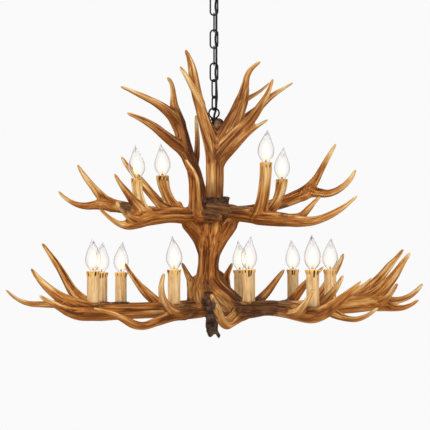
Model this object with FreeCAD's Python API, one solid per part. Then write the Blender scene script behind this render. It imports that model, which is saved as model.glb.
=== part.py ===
import FreeCAD, Part
import math
import os
from FreeCAD import Placement, Rotation, Vector

# Antler chandelier, two tiers, hung on a chain. Millimetres.
# Origin: middle of the canopy's ceiling face. Z up, X to the right, -Y towards the viewer.

# ---------------------------------------------------------------- driving dimensions
# The view in which the antlers were read: a level line of sight meets the hanging axis
# at VIEW_HEIGHT, and one picture unit is VIEW_SCALE mm on that axis.
VIEW_DISTANCE = 2500.0
VIEW_SCALE = 2.2
VIEW_HEIGHT = -690.0
VIEW_CENTRE = 215.0
AXIS_COLUMN = 214.0
HORIZON_ROW = 269.0
# the antlers stand this far behind where they were read, so that their weight hangs plumb
BALANCE_SHIFT = -8.0

CANOPY_RADIUS = 64.0
CANOPY_DEPTH = 30.0
CANOPY_WALL = 1.4
CANOPY_OUTLINE = [(0, -CANOPY_DEPTH), (20, -CANOPY_DEPTH), (44, -CANOPY_DEPTH + 4),
                  (58, -CANOPY_DEPTH + 13), (CANOPY_RADIUS - 1, -8), (CANOPY_RADIUS, 0)]
CROSSBAR_LENGTH = 104.0
CROSSBAR_WIDTH = 16.0
CROSSBAR_THICK = 3.0
CEILING_SLOT_PITCH = 70.0
CEILING_SLOT_LENGTH = 14.0
CEILING_SLOT_WIDTH = 4.8
CANOPY_SCREW_PITCH = 92.0
CANOPY_SCREW_RADIUS = 2.0
CAP_NUT_SEAT = -CANOPY_DEPTH + 7.5
CAP_NUT_PROFILE = [(0, 0), (4.6, 0), (4.6, 4), (2.8, 9), (0, 10)]

LINK_LENGTH = 44.5
LINK_WIDTH = 20.0
LINK_WIRE = 3.6
LINK_GAP = 0.3
LINK_COUNT = 6
END_LINK_LENGTH = 34.0
END_LINK_WIDTH = 19.0
LINK_TURNS = [0.0, 90.0, 0.0, 90.0, 0.0, 60.0]
END_LINK_TURN = 120.0
LOOP_RADIUS = 11.2
LOOP_WIRE = 3.8
# the shank of an eye starts this far inside its ring's centre line
LOOP_ROOT = 1.0
EYE_COLLAR_RADIUS = 7.0
EYE_COLLAR_HEIGHT = 6.0
EYE_THREAD = 8.0
HUB_LOOP_Z = -345.7

CORD_RADIUS = 2.5
CORD_SIDE = 5.5
CORD_WEAVE = 5.8
CORD_INNER = 2.5

PIPE_RADIUS = 5.0
PIPE_BORE = 3.6
PIPE_TOP = -374.0
PIPE_BOTTOM = -806.0
PIPE_HOLE = 5.3

UPPER_HUB_RADIUS = 31.0
UPPER_HUB_TOP = -540.0
UPPER_HUB_BOTTOM = -588.0
LOWER_HUB_RADIUS = 33.0
LOWER_HUB_TOP = -757.0
LOWER_HUB_BOTTOM = -797.0
HUB_ROUND = 8.0
STUD_RADIUS = 3.0

# a tine stays full until this share of its last stretch, then rounds off
TIP_PLACE = 0.6
TIP_FULLNESS = 2.0
# cubic lofts don't bulge between the closely set sections of a tip
LOFT_DEGREE = 3

SLEEVE_RADIUS = 13.6
SLEEVE_LIP = 15.2
SLEEVE_LIP_HEIGHT = 12.0
SLEEVE_BORE = 11.0
TRAY_RADIUS = 21.0
TRAY_HEIGHT = 7.0
SOCKET_RADIUS = 8.6
SOCKET_HEIGHT = 17.0
TALL_SOCKET_HEIGHT = 37.4
RIM_RECESS = 1.0
SOCKET_BORE = 6.6
SOCKET_FLOOR = 3.0
STEM_RADIUS = 4.8

BULB_CAP_RADIUS = 6.0
BULB_CAP_HEIGHT = 12.5
BULB_RADIUS = 17.5
BULB_BEND = 4.5
# height above the sleeve's rim, radius, share of the tip's bend
BULB_SECTIONS = [(-1.0, 6.0, 0.0), (3.0, 8.6, 0.0), (11.0, 14.4, 0.0), (22.0, BULB_RADIUS, 0.0),
                 (34.0, 16.0, 0.05), (46.0, 11.4, 0.2), (56.0, 6.6, 0.5), (64.0, 2.9, 0.85),
                 (69.5, 0.9, 1.0)]

# ---------------------------------------------------------------- antlers, read by hand
# Each branch: (column, row, width) in the picture, and its depth behind the hanging axis in mm.
# The first branch is the beam; names with "cup" end level, in a candle's cup.
CENTRE_TRUNK = {
    "beam": [(213, 216, 30, 0), (212.4, 222, 33, 0), (211.8, 230, 32.6, 0), (211, 238, 29.6, 0),
             (209.8, 246, 25.4, 0), (208.9, 255, 22.2, 0), (208.1, 265, 21.2, 0), (207.5, 275, 22.4, 0),
             (207.8, 285, 26, 0), (208.8, 294, 30, 0), (210, 303, 30, 0)],
    "left_shoulder": [(205, 246, 17, 0), (200.6, 236.6, 18, -6), (195, 228.6, 18, -16),
                      (188, 221.6, 16, -30)],
    "right_shoulder": [(214.5, 246, 16, 0), (219.4, 237.6, 18, -4), (225, 229.6, 18.6, -12),
                       (231, 221.6, 16, -24)],
    "right_foot": [(210.6, 272, 15, 0), (214.6, 282, 18, -6), (221.6, 291.6, 19.4, -18),
                   (231, 299.6, 19, -34)],
    "left_foot": [(205, 280, 14, 0), (200, 290, 13.4, 2), (194.6, 298.6, 12, 8)],
}
CROWN_FRONT_ANTLER = {
    "beam": [(214.6, 203, 18, 0), (214.8, 188, 18, 0), (215, 170, 18, 0), (215.2, 158, 18.6, 0),
             (212, 144, 17, -2), (207.5, 130, 14.5, -8), (203.2, 117, 13, -16), (200, 106, 11.6, -20),
             (196.8, 94, 11, -24), (194.2, 80, 10.2, -26), (191.6, 66, 7.8, -26), (188.8, 57, 5.4, -24),
             (185.8, 50.5, 2.6, -20)],
    "side_tine": [(200.4, 104, 8, -26), (195, 93, 7.2, -38), (190, 83, 6.2, -48), (185, 74, 4.6, -54),
                  (180.4, 67.3, 2.2, -56)],
    "right_beam": [(216, 160, 17, 0), (220, 147, 19, 2), (227, 132, 18, 4), (234.6, 118, 17, 6),
                   (240, 105, 14.5, 10), (243.6, 94, 11, 12), (245.2, 85, 7.6, 14), (246.8, 77.5, 6.2, 16),
                   (249.8, 71, 5.4, 14), (254.8, 65.6, 4.2, 8), (260, 62, 2.2, 2)],
    "thin_tine": [(241, 103, 8.6, 14), (247, 99, 5.6, 28), (254, 95, 4.2, 42), (260, 91.2, 3.4, 54),
                  (266, 86.2, 2.6, 64), (270, 82.6, 1.6, 70)],
    "wide_tine": [(217, 158, 15, -4), (226, 146, 15.5, -12), (237, 134, 14, -24), (246.5, 124, 12, -38),
                  (253.5, 116, 10.5, -52), (259, 108, 9, -64), (263.5, 101, 7.4, -72),
                  (267.6, 93.5, 5.8, -78), (270.8, 85.6, 4, -82), (272.8, 79.2, 1.8, -84)],
    "rear_tine": [(234, 127, 11, 12), (244, 120, 10.4, 26), (252, 114, 9, 44), (260, 107, 7.6, 60),
                  (268, 99, 6, 80), (276, 93, 4.8, 94), (285, 87.6, 3.2, 104), (292.6, 83, 1.6, 110)],
    "low_tine": [(221, 158, 12, -4), (229, 150.6, 11, -14), (237, 142.6, 9.4, -22), (245, 135.4, 7.2, -30),
                 (252.5, 129.6, 5.4, -36), (260, 124.6, 3.6, -40), (267.6, 119.8, 1.6, -42)],
}
CROWN_LEFT_ANTLER = {
    "beam": [(203, 207, 12.5, 36), (199.6, 190, 12.5, 42), (195, 174, 13.5, 46), (188.6, 158, 14.5, 46),
             (184.4, 145, 15, 42), (180.6, 130, 14, 36), (176.8, 117, 13, 30), (174, 106, 9.6, 28),
             (173.4, 96, 6.6, 30), (172.6, 88, 5.4, 32), (170.8, 82, 4.4, 32), (167.8, 77.7, 2.4, 30)],
    "long_tine": [(178.6, 124, 12, 32), (172.6, 116, 12, 20), (165, 109, 10.4, 6), (156, 103, 8.2, -6),
                  (146.5, 98.2, 6.6, -18), (137, 93.8, 5.2, -28), (128, 89.6, 3.6, -36),
                  (121, 86.6, 1.8, -42)],
    "low_tine": [(184.4, 150, 13, 42), (178, 145.6, 12.4, 28), (171, 140.4, 11.6, 10),
                 (164, 134.6, 10.4, -8), (157, 128.8, 9.2, -24), (149.6, 123.8, 8, -36),
                 (142, 119.4, 6.4, -46), (134.5, 116, 4.4, -54), (127.5, 113.2, 2, -60)],
    "rear_tine": [(194, 170, 8.6, 58), (196.4, 156, 7, 78), (197.2, 142, 5.4, 94), (196.8, 129, 4.4, 104),
                  (195.8, 116, 2.4, 112)],
}
UPPER_FRONT_LEFT_ANTLER = {
    "beam": [(205, 212, 14, -12), (195, 214.4, 15, -28), (184, 215.6, 15.5, -50), (172, 215, 15.5, -74),
             (160, 216, 16, -98), (148, 218, 16, -120), (138, 221.5, 14, -138), (129, 224.6, 10.5, -152),
             (120, 224, 6.6, -162), (111.5, 219, 5, -170), (104.5, 213, 3.8, -176), (99.2, 208, 1.8, -180)],
    "short_tine": [(140, 219, 11, -138), (132.5, 219, 9, -158), (126, 214.5, 6.4, -172),
                   (120.5, 208.5, 4.6, -180), (116.6, 202.6, 2.2, -184)],
    "left_cup": [(149, 216, 14, -116), (142.6, 209, 13, -124), (139.6, 201, 11.8, -128),
                 (137.9, 193, 11.2, -130), (137.1, 186, 11.8, -130), (136.9, 178.2, 13, -130)],
    "left_tine": [(143.6, 213.4, 10.8, -124), (134, 202, 9.8, -150), (128.5, 194.4, 8, -166),
                  (123.5, 187.8, 6.2, -178), (118.7, 181, 4.4, -186), (114.9, 174.3, 2.2, -190)],
    "right_cup": [(182, 214.6, 13.5, -52), (176.4, 209, 13, -50), (170.4, 201.5, 12, -46),
                  (166.2, 193, 11.6, -42), (163.6, 185, 12.4, -38), (162.4, 175.6, 13.4, -36)],
    "rear_tine": [(173, 214, 12, -70), (164, 208, 11, -46), (156.4, 200, 10, -22), (149, 191.4, 9.4, 0),
                  (141.5, 182.3, 8.8, 18), (134, 173.8, 7.4, 32), (127, 165.4, 5.2, 42),
                  (121.5, 157.2, 2.4, 48)],
    "broad_tine": [(196, 213, 14, -34), (195, 206, 13.6, -48), (194.8, 197, 12.4, -60),
                   (194.6, 188, 11.4, -68), (193.8, 180, 10.6, -72), (191.4, 172.5, 8.6, -74),
                   (188.4, 165.6, 5.4, -74), (185.5, 159.8, 2, -74)],
    "stub": [(180.5, 213, 5, -44), (180.6, 207, 4.2, -42), (180.2, 202.6, 3, -42)],
    "root_knuckle": [(197, 214.6, 14.4, -30), (204.6, 215.6, 14.4, -38), (212.4, 216.6, 13, -43),
                     (219.4, 217, 9, -43)],
}
UPPER_LEFT_ANTLER = {
    "beam": [(204, 212, 11.5, 8), (192, 213, 11, 24), (176, 213.5, 11, 44), (158, 212.5, 11.4, 58),
             (141, 210.5, 11.8, 66), (127, 208, 12.4, 70), (115, 206, 13, 72), (105, 204.4, 12.4, 72),
             (95.5, 205, 9.6, 72), (86.5, 206, 7.6, 72), (77.5, 204.6, 6.2, 74), (69.5, 201, 4.8, 80),
             (63, 196.2, 3.6, 86), (58.8, 191.6, 1.8, 90)],
    "high_tine": [(111, 205.4, 12, 72), (104.4, 200, 11, 80), (98.4, 193.4, 9, 90), (92.8, 186.6, 7.4, 98),
                  (87, 179.4, 6, 104), (81.8, 172, 4.2, 110), (77.8, 165.4, 2.2, 114)],
}
UPPER_FRONT_RIGHT_ANTLER = {
    "beam": [(224, 211.4, 13.5, -12), (235, 213.4, 15.5, -30), (247, 214.8, 16.5, -52),
             (260, 216.8, 16.5, -76), (273, 218.4, 15.4, -100), (286, 219.8, 13.6, -122),
             (299, 221, 12.2, -140), (311, 221, 9.8, -154), (322, 218.6, 8.2, -164), (333, 213.8, 7, -172),
             (343, 207.4, 5.6, -176), (351.5, 200.8, 3.8, -178), (357, 196.1, 1.8, -180)],
    "short_tine": [(296, 219, 9.6, -134), (303, 215, 8.6, -122), (308.6, 209.2, 7, -112),
                   (314, 202.8, 5, -106), (320, 197, 2.2, -102)],
    "left_cup": [(257, 216, 14, -74), (260.4, 207, 13.4, -88), (262.8, 197.5, 12.8, -102),
                 (264.4, 187, 12.4, -112), (265.5, 176, 12.4, -120), (266, 162.4, 13, -124)],
    "right_cup": [(266, 216, 11, -78), (271, 210.6, 10.6, -60), (275.6, 203.6, 10.6, -46),
                  (278.9, 196, 10.8, -36), (281, 188, 11.8, -32), (282, 179, 13, -30)],
    "root_knuckle": [(231, 212.4, 14.6, -27), (222.6, 210.4, 14, -34), (214.4, 208.4, 12.4, -38),
                     (207, 207, 9, -37)],
}
UPPER_RIGHT_ANTLER = {
    "beam": [(223, 211.4, 11, 12), (232, 211.4, 10.6, 26), (245, 210.6, 11, 44), (260, 208.4, 11.4, 60),
             (275, 204.4, 12.6, 70), (288, 200.2, 13.4, 72), (299, 195.6, 13.8, 70), (309, 191.6, 12.6, 66),
             (318, 192.6, 9.6, 60), (327.5, 193.4, 8.2, 54), (336.5, 190.6, 7.2, 50), (344.6, 185, 6.2, 46),
             (351, 178, 5, 44), (355.6, 170.4, 2.4, 44)],
    "high_tine": [(304, 194, 12, 68), (310.2, 187.5, 11.6, 76), (315.6, 179.5, 9.2, 86),
                  (320.2, 171, 7.4, 94), (325.2, 162, 6, 102), (330.8, 152.4, 4.4, 108),
                  (335.4, 144.6, 2.2, 110)],
}
UPPER_BACK_ANTLER = {
    "beam": [(214, 211.6, 13.5, 20), (213.6, 211, 14, 60), (213, 210.6, 13.5, 100), (211, 210.4, 12, 145),
             (205, 210.4, 9.6, 190), (196, 211, 7.6, 230), (186.5, 211.5, 5.4, 262),
             (177, 211.5, 2.4, 286)],
    "right_fork": [(212.4, 210.4, 11.4, 122), (219, 210.4, 9.4, 165), (228.5, 210, 7.6, 205),
                   (239, 209.6, 5.4, 238), (249, 209, 2.4, 262)],
    "cup": [(213, 210, 13, 104), (213.8, 203, 12.2, 112), (214.6, 195, 12, 116), (214.9, 187, 12.4, 118),
            (215, 178.2, 13, 118)],
    "side_tine": [(210.6, 209.6, 9, 56), (208, 201, 7, 66), (205.4, 193, 5.6, 72), (203, 185.4, 4.2, 76),
                  (201.2, 179.4, 2, 78)],
}
LOWER_FRONT_LEFT_ANTLER = {
    "beam": [(207, 309, 15, -12), (197, 310.5, 16, -30), (187, 312, 15.6, -54), (177, 314.2, 13.6, -80),
             (166, 318.2, 11.2, -110), (155, 322.4, 9.2, -140), (143.5, 325.8, 8.6, -168),
             (133.5, 324.2, 8.8, -190), (124, 319.2, 8, -206), (113.5, 314.4, 5.8, -218),
             (103.5, 310.8, 3.6, -226), (94.2, 308.2, 1.6, -230)],
    "brow_tine": [(184, 312, 14, -64), (175, 311, 12.6, -92), (168.4, 307, 10.2, -116),
                  (163.8, 301, 8.2, -134), (161.6, 293.5, 6.8, -146), (161.4, 285.5, 5.8, -154),
                  (162.6, 279, 4.6, -158), (164, 273.8, 2.2, -160)],
}
LOWER_LEFT_ANTLER = {
    "beam": [(203, 307, 14, -2), (190, 308.4, 14, -8), (175, 309.4, 14.5, -16), (158, 310.4, 14.8, -26),
             (140, 311.2, 15, -36), (123, 311.8, 15.6, -46), (107, 312.2, 17, -56), (93, 312.6, 17.6, -66),
             (80, 312.6, 16.4, -80), (69, 310.8, 12.5, -94), (60, 307, 8.8, -106), (51, 302.6, 6, -116),
             (45, 299.3, 4.4, -122), (40, 296, 2.2, -126)],
    "middle_tine": [(91, 309.6, 15.5, -66), (79, 306, 15.4, -74), (68, 301.6, 13.4, -80),
                    (58.4, 296, 11, -84), (50, 289.6, 8.8, -86), (42.6, 282.6, 7, -86),
                    (36.4, 275.8, 5, -84), (31.5, 269.3, 2.4, -82)],
    "high_tine": [(97, 310, 15, -58), (87, 304.4, 14.6, -50), (78.8, 298, 12.6, -40),
                  (72.4, 290.6, 10.4, -28), (67.6, 282.8, 8.8, -16), (63, 274.4, 7.8, -6),
                  (58, 266, 7, 4), (52.6, 258, 5.8, 12), (47, 250, 4.4, 18), (42.6, 244, 2.4, 22)],
    "inner_tine": [(166, 309, 12.4, -20), (157, 302.4, 11.2, -10), (148.2, 294.8, 10, -2),
                   (140.8, 287, 7.8, 6), (134.6, 279, 6.2, 12), (129.4, 271.4, 4.6, 16),
                   (125.2, 263.8, 2.2, 18)],
}
LOWER_FRONT_RIGHT_ANTLER = {
    "beam": [(219, 307, 17, -12), (228, 308.4, 18, -30), (239, 310, 18.4, -54), (251, 309.8, 17, -80),
             (264, 308, 15.4, -110), (277, 308.4, 15.8, -140), (290, 310.4, 17.2, -168),
             (302, 313, 18, -190), (313, 314.6, 17.4, -206), (323, 312.4, 15, -216),
             (331.5, 307.4, 12, -222), (339, 301, 9.4, -224), (347, 294, 7, -222),
             (355, 287, 4.4, -218), (360.8, 281.7, 1.8, -214)],
    "brow_tine": [(241, 313, 15.4, -66), (233, 319.6, 12.8, -94), (226.8, 324.4, 10.6, -120),
                  (222, 320.4, 10, -142), (218.8, 313.2, 9.2, -158), (216, 306, 7.6, -168),
                  (213.4, 299.8, 5, -174), (211, 294.4, 2, -176)],
    "candle_tine": [(291, 312.4, 10, -184), (298.5, 310.6, 9.2, -212), (304.5, 304.4, 7.6, -228),
                    (309.4, 296.6, 5.4, -238), (313, 289.4, 2.2, -242)],
    "outer_tine": [(314, 310.4, 12, -196), (318, 307.6, 11.2, -188), (321.8, 304.4, 10.4, -180),
                   (329, 297, 8.6, -160), (335.2, 289.4, 7, -144), (339.8, 282.2, 4.8, -134),
                   (343, 276, 2.2, -130)],
    "rear_tip": [(334, 303.6, 9.4, -214), (344, 298.6, 7, -192), (352, 293.4, 5.4, -172),
                 (360, 287.8, 4, -156), (366.5, 282.8, 2.8, -146), (371.6, 278, 1.4, -140)],
}
LOWER_RIGHT_ANTLER = {
    "beam": [(224, 306.4, 13, 8), (240, 307, 12.6, 12), (258, 307.5, 12.6, 12), (277, 307.5, 13, 12),
             (297, 307, 13.4, 14), (316, 306.4, 14.4, 18), (333, 305.8, 15.6, 18), (347, 305, 17, 10),
             (359, 303.6, 17.4, 0), (371, 303.4, 15.6, -14), (382, 305.2, 12.4, -30), (393, 307.4, 8.4, -42),
             (403, 307.6, 6, -52), (411.5, 304.6, 4.2, -58), (418.4, 299.8, 1.8, -62)],
    "first_high_tine": [(353, 302.4, 14.6, 12), (361.6, 296.6, 13.6, 24), (369.4, 289.4, 12, 36),
                        (376.8, 281.4, 10.2, 46), (384, 273, 8.6, 54), (391, 264.4, 7, 60),
                        (397.5, 256.8, 5, 64), (402.8, 250, 2.4, 66)],
    "second_high_tine": [(363, 301.6, 14, -4), (373, 296.6, 14, -12), (381.8, 290, 12.8, -20),
                         (389.2, 282, 10.8, -28), (395.4, 274, 8.8, -34), (400.4, 266.4, 7, -38),
                         (405.2, 259.4, 5.2, -42), (409.7, 253.2, 2.4, -44)],
    "short_tine": [(378, 303.4, 9, -26), (384, 301, 8, -48), (389, 295.8, 6.4, -62), (393.4, 289.8, 5, -72),
                   (397.2, 284, 2.4, -78)],
    "outer_tine": [(373, 301, 12.6, -10), (383, 301, 11, -2), (392, 301, 8.6, 4), (400.5, 299.8, 6.8, 8),
                   (409.5, 296.2, 5.8, 12), (417.2, 290.2, 4.6, 14), (422.4, 284.2, 2, 14)],
    "under_tine": [(322, 307.6, 11.6, 4), (330, 311.4, 10.6, -22), (338.4, 315.4, 9, -46),
                   (347, 318.6, 7.4, -64), (356, 319.4, 6, -78), (365, 316.6, 5.2, -86),
                   (372, 312.4, 3.8, -92), (378, 308, 1.6, -96)],
    "inner_tine": [(284, 306, 11.6, 20), (291.5, 301, 10.6, 38), (297.5, 293.8, 9.2, 54),
                   (303.6, 285.8, 7.8, 68), (310.6, 278.8, 6.2, 80), (317.6, 272.4, 4.2, 88),
                   (323.1, 267.2, 2, 94)],
    "rear_tine": [(309, 304, 11.6, 26), (316.4, 298, 10.2, 48), (323.2, 289.6, 8.8, 70),
                  (329.6, 279.6, 7.6, 90), (335.8, 269.8, 6.2, 106), (340.6, 260.6, 4.4, 118),
                  (343.3, 254.1, 1.8, 124)],
}
LOWER_BACK_LEFT_ANTLER = {
    "beam": [(207, 304.6, 12.6, 14), (199, 305.6, 12.8, 38), (188, 306.4, 12.8, 66), (172, 307, 12.6, 94),
             (152, 307.6, 12.2, 112), (132, 308, 12, 120), (112, 307.8, 11.6, 120), (92, 306.4, 10.8, 114),
             (73, 305, 9.8, 106), (56, 304.4, 8.2, 98), (43, 304.4, 7, 92), (32, 304, 6, 88),
             (23.5, 302, 5, 84), (16, 298.4, 3.8, 82), (10.4, 294, 2.8, 80), (6.4, 290.1, 1.6, 80)],
    "stem_tine": [(196, 305.6, 11, 48), (191.8, 299, 9.4, 58), (190.8, 291, 8.4, 64), (191, 283, 8, 66),
                  (188, 275.6, 6.6, 64), (184.8, 268.8, 4.6, 60), (182.2, 263.4, 2.2, 58)],
    "stem_fork": [(191, 284, 7.2, 66), (196.5, 278, 6.2, 78), (202, 272.8, 4.4, 90), (206, 267.8, 2, 98)],
    "back_tine": [(160, 307.4, 11, 106), (152, 308.4, 9.6, 148), (141, 309, 8, 190), (128, 308.6, 5.8, 226),
                  (115, 306.4, 2.4, 252)],
}
LOWER_BACK_RIGHT_ANTLER = {
    "beam": [(221, 304.6, 12.6, 14), (229, 305.6, 12.8, 44), (241, 306.4, 12.8, 82),
             (258, 306.8, 12.6, 124), (276, 307, 12.6, 162), (293, 307, 12.4, 190), (310, 306.6, 10.8, 212),
             (328, 305.4, 8.8, 232), (345, 303.4, 6.6, 250), (360, 300.4, 2.8, 264)],
    "middle_tine": [(250, 306.8, 11, 106), (257, 302.4, 10.2, 112), (263, 296.6, 9.2, 116),
                    (268.6, 290.4, 8.2, 118), (273.8, 283.4, 6.8, 120), (279, 276.4, 5, 120),
                    (283.8, 270, 2.2, 120)],
    "stem_tine": [(232, 305.2, 11, 54), (230.6, 298, 9.6, 62), (227.8, 290, 8.6, 66), (225.6, 282.6, 8, 68),
                  (226.6, 275.4, 6.8, 66), (229.4, 269.2, 4.8, 62), (232, 263.6, 2.2, 58)],
    "stem_fork": [(226, 282, 7, 68), (222.4, 276, 6, 80), (217.6, 271.4, 4.4, 90), (213.6, 267, 2, 98)],
}
LOWER_BACK_ANTLER = {
    "beam": [(214, 304.6, 13, 20), (217, 305.4, 13.4, 62), (222, 306, 13, 108), (229, 306.4, 13, 154),
             (236, 306.6, 12.8, 196), (241, 306.4, 12, 230), (243, 306, 10, 270), (240, 305.4, 7.6, 312),
             (234, 304, 5.4, 346), (228, 301.8, 2.4, 370)],
    "left_fork": [(224, 306.2, 11.6, 126), (215, 306.6, 10.4, 168), (203, 306.8, 9.4, 210),
                  (190, 306.6, 8, 246), (178, 305.4, 5.8, 274), (168, 303, 2.6, 292)],
}

ANTLERS = {
    "crown_front_antler": CROWN_FRONT_ANTLER,
    "crown_left_antler": CROWN_LEFT_ANTLER,
    "upper_front_left_antler": UPPER_FRONT_LEFT_ANTLER,
    "upper_front_right_antler": UPPER_FRONT_RIGHT_ANTLER,
    "upper_left_antler": UPPER_LEFT_ANTLER,
    "upper_right_antler": UPPER_RIGHT_ANTLER,
    "upper_back_antler": UPPER_BACK_ANTLER,
    "lower_front_left_antler": LOWER_FRONT_LEFT_ANTLER,
    "lower_front_right_antler": LOWER_FRONT_RIGHT_ANTLER,
    "lower_left_antler": LOWER_LEFT_ANTLER,
    "lower_right_antler": LOWER_RIGHT_ANTLER,
    "lower_back_left_antler": LOWER_BACK_LEFT_ANTLER,
    "lower_back_right_antler": LOWER_BACK_RIGHT_ANTLER,
    "lower_back_antler": LOWER_BACK_ANTLER,
}
# This antler is held by the centre pipe that runs up through it; the others have a stud each.
ON_PIPE = "crown_front_antler"
# Upper candles stand in the cups that end these branches; the last number is the bulb's turn.
UPPER_CANDLES = [
    ("upper_front_left_antler", "left_cup", 200.0),
    ("upper_front_left_antler", "right_cup", 165.0),
    ("upper_front_right_antler", "left_cup", 10.0),
    ("upper_front_right_antler", "right_cup", -40.0),
    ("upper_back_antler", "cup", 80.0),
]
# Lower candles: column, row of the rim, row of the foot, depth, bulb's turn, antler that carries it
LOWER_CANDLES = [
    (93.2, 270.8, 304, -62, 250.0, "lower_left_antler"),
    (101.6, 272.0, 303, 118, 60.0, "lower_back_left_antler"),
    (121.0, 272.0, 303, 120, -30.0, "lower_back_left_antler"),
    (174.2, 269.2, 305, -95, 180.0, "lower_front_left_antler"),
    (239.6, 269.8, 301.4, 222, 140.0, "lower_back_antler"),
    (248.9, 269.2, 303, -76, 0.0, "lower_front_right_antler"),
    (292.7, 269.2, 302, 190, 200.0, "lower_back_right_antler"),
    (312.6, 269.4, 308, -206, 100.0, "lower_front_right_antler"),
    (330.1, 269.2, 299.6, 18, -60.0, "lower_right_antler"),
]

os.makedirs("parts", exist_ok=True)
UP = Vector(0, 0, 1)
FOCAL = VIEW_DISTANCE / VIEW_SCALE
TILT = math.atan((HORIZON_ROW - VIEW_CENTRE) / FOCAL)


# ---------------------------------------------------------------- helpers
def spot(column, row, depth):
    """Where a point of the picture is, given how far behind the hanging axis it was read."""
    depth += BALANCE_SHIFT
    rise = VIEW_CENTRE - row
    forward = FOCAL * math.cos(TILT) - rise * math.sin(TILT)
    reach = (VIEW_DISTANCE + depth) / forward
    height = (FOCAL * math.sin(TILT) + rise * math.cos(TILT)) * reach
    return Vector((column - AXIS_COLUMN) * reach, depth, VIEW_HEIGHT + height)


def half_width(width, depth):
    return 0.5 * width * (VIEW_DISTANCE + depth + BALANCE_SHIFT) / FOCAL


def ring_at(centre, direction, radius, side):
    """A circle across a direction, with its seam towards side so that lofts don't twist."""
    z_axis = Vector(direction).normalize()
    x_axis = side - z_axis * side.dot(z_axis)
    turn = Rotation(x_axis, Vector(0, 0, 0), z_axis, "ZXY")
    circle = Part.makeCircle(radius)
    circle.Placement = Placement(centre, turn)
    return Part.Wire([circle]), x_axis.normalize()


def branch(points, rounded=True):
    """A tapering branch lofted through circles along its centre line."""
    centres = [spot(column, row, depth) for column, row, width, depth in points]
    radii = [half_width(width, depth) for column, row, width, depth in points]
    if rounded:
        ahead = (centres[-1] - centres[-2]).normalize()
        centres.append(centres[-1] + ahead * radii[-1] * 0.8)
        radii.append(radii[-1] * 0.45)
        centres.insert(-2, centres[-3] + (centres[-2] - centres[-3]) * TIP_PLACE)
        radii.insert(-2, radii[-3] + (radii[-2] - radii[-3]) * TIP_PLACE ** TIP_FULLNESS)
    last = len(centres) - 1
    side = Vector(0.31, 0.92, 0.24)
    wires = []
    for i, centre in enumerate(centres):
        direction = centres[min(i + 1, last)] - centres[max(i - 1, 0)]
        if not rounded and i == last:
            direction = UP
        wire, side = ring_at(centre, direction, radii[i], side)
        wires.append(wire)
    return Part.makeLoft(wires, True, False, False, LOFT_DEGREE)


def cylinder(radius, bottom, top, x=0.0, y=0.0):
    return Part.makeCylinder(radius, top - bottom, Vector(x, y, bottom), UP)


def rod(radius, start, end):
    return Part.makeCylinder(radius, (end - start).Length, start, end - start)


def tube(radius, bore, bottom, top, x=0.0, y=0.0):
    return cylinder(radius, bottom, top, x, y).cut(cylinder(bore, bottom, top, x, y))


def revolve(profile, x=0.0, y=0.0):
    """A turned solid from (radius, height) points about a vertical line."""
    points = [Vector(x + radius, y, height) for radius, height in profile]
    face = Part.Face(Part.makePolygon(points + [points[0]]))
    return face.revolve(Vector(x, y, 0), UP, 360)


def largest(shape):
    return max(shape.Solids, key=lambda solid: solid.Volume)


def save(name, shape):
    shape.exportStep("parts/" + name + ".step")
    print(name, "solids", len(shape.Solids), "valid", shape.isValid(), "cm3", round(shape.Volume / 1000, 1))


def save_group(name, shapes):
    save(name, Part.makeCompound(shapes))


# ---------------------------------------------------------------- candles' places
class Candle:
    """One light: where its axis stands, its rim and foot, and how far its bulb is turned."""

    def __init__(self, antler, centre, foot, turn, is_cup):
        self.antler = antler
        self.x = centre.x
        self.y = centre.y
        self.rim = centre.z
        self.foot = foot
        self.turn = turn
        self.is_cup = is_cup


def find_candles():
    candles = []
    for antler, cup, turn in UPPER_CANDLES:
        column, row, width, depth = ANTLERS[antler][cup][-1]
        rim = spot(column, row, depth)
        candles.append(Candle(antler, rim, rim.z - SOCKET_HEIGHT, turn, True))
    for column, row, foot_row, depth, turn, antler in LOWER_CANDLES:
        rim = spot(column, row, depth)
        candles.append(Candle(antler, rim, spot(column, foot_row, depth).z, turn, False))
    return candles


def sleeve(candle):
    low, high = candle.foot, candle.rim
    lip = high - SLEEVE_LIP_HEIGHT
    profile = [(SLEEVE_BORE, low), (SLEEVE_RADIUS, low), (SLEEVE_RADIUS, lip),
               (SLEEVE_LIP, high - 2.0), (SLEEVE_LIP - 1.0, high), (SLEEVE_BORE, high)]
    return revolve(profile, candle.x, candle.y)


def tray(candle):
    """The dark bark collar that a lower sleeve stands in."""
    top = candle.foot + 0.4 * TRAY_HEIGHT
    low = candle.foot - 0.6 * TRAY_HEIGHT
    outer = revolve([(0, low), (TRAY_RADIUS - 3, low), (TRAY_RADIUS, candle.foot),
                     (TRAY_RADIUS - 2, top), (0, top)], candle.x, candle.y)
    return outer.cut(cylinder(SLEEVE_RADIUS, candle.foot, top + 1, candle.x, candle.y))


def socket(candle):
    high = candle.rim - RIM_RECESS
    low = high - SOCKET_HEIGHT
    radius = SOCKET_RADIUS
    if not candle.is_cup:
        low = high - TALL_SOCKET_HEIGHT
        radius = SLEEVE_BORE - 0.2
    body = cylinder(radius, low, high, candle.x, candle.y)
    floor = high - SOCKET_HEIGHT + SOCKET_FLOOR
    return body.cut(cylinder(SOCKET_BORE, floor, high + 1, candle.x, candle.y))


def socket_stem(candle):
    top = candle.rim - RIM_RECESS - TALL_SOCKET_HEIGHT
    return cylinder(STEM_RADIUS, candle.foot, top, candle.x, candle.y)


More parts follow.
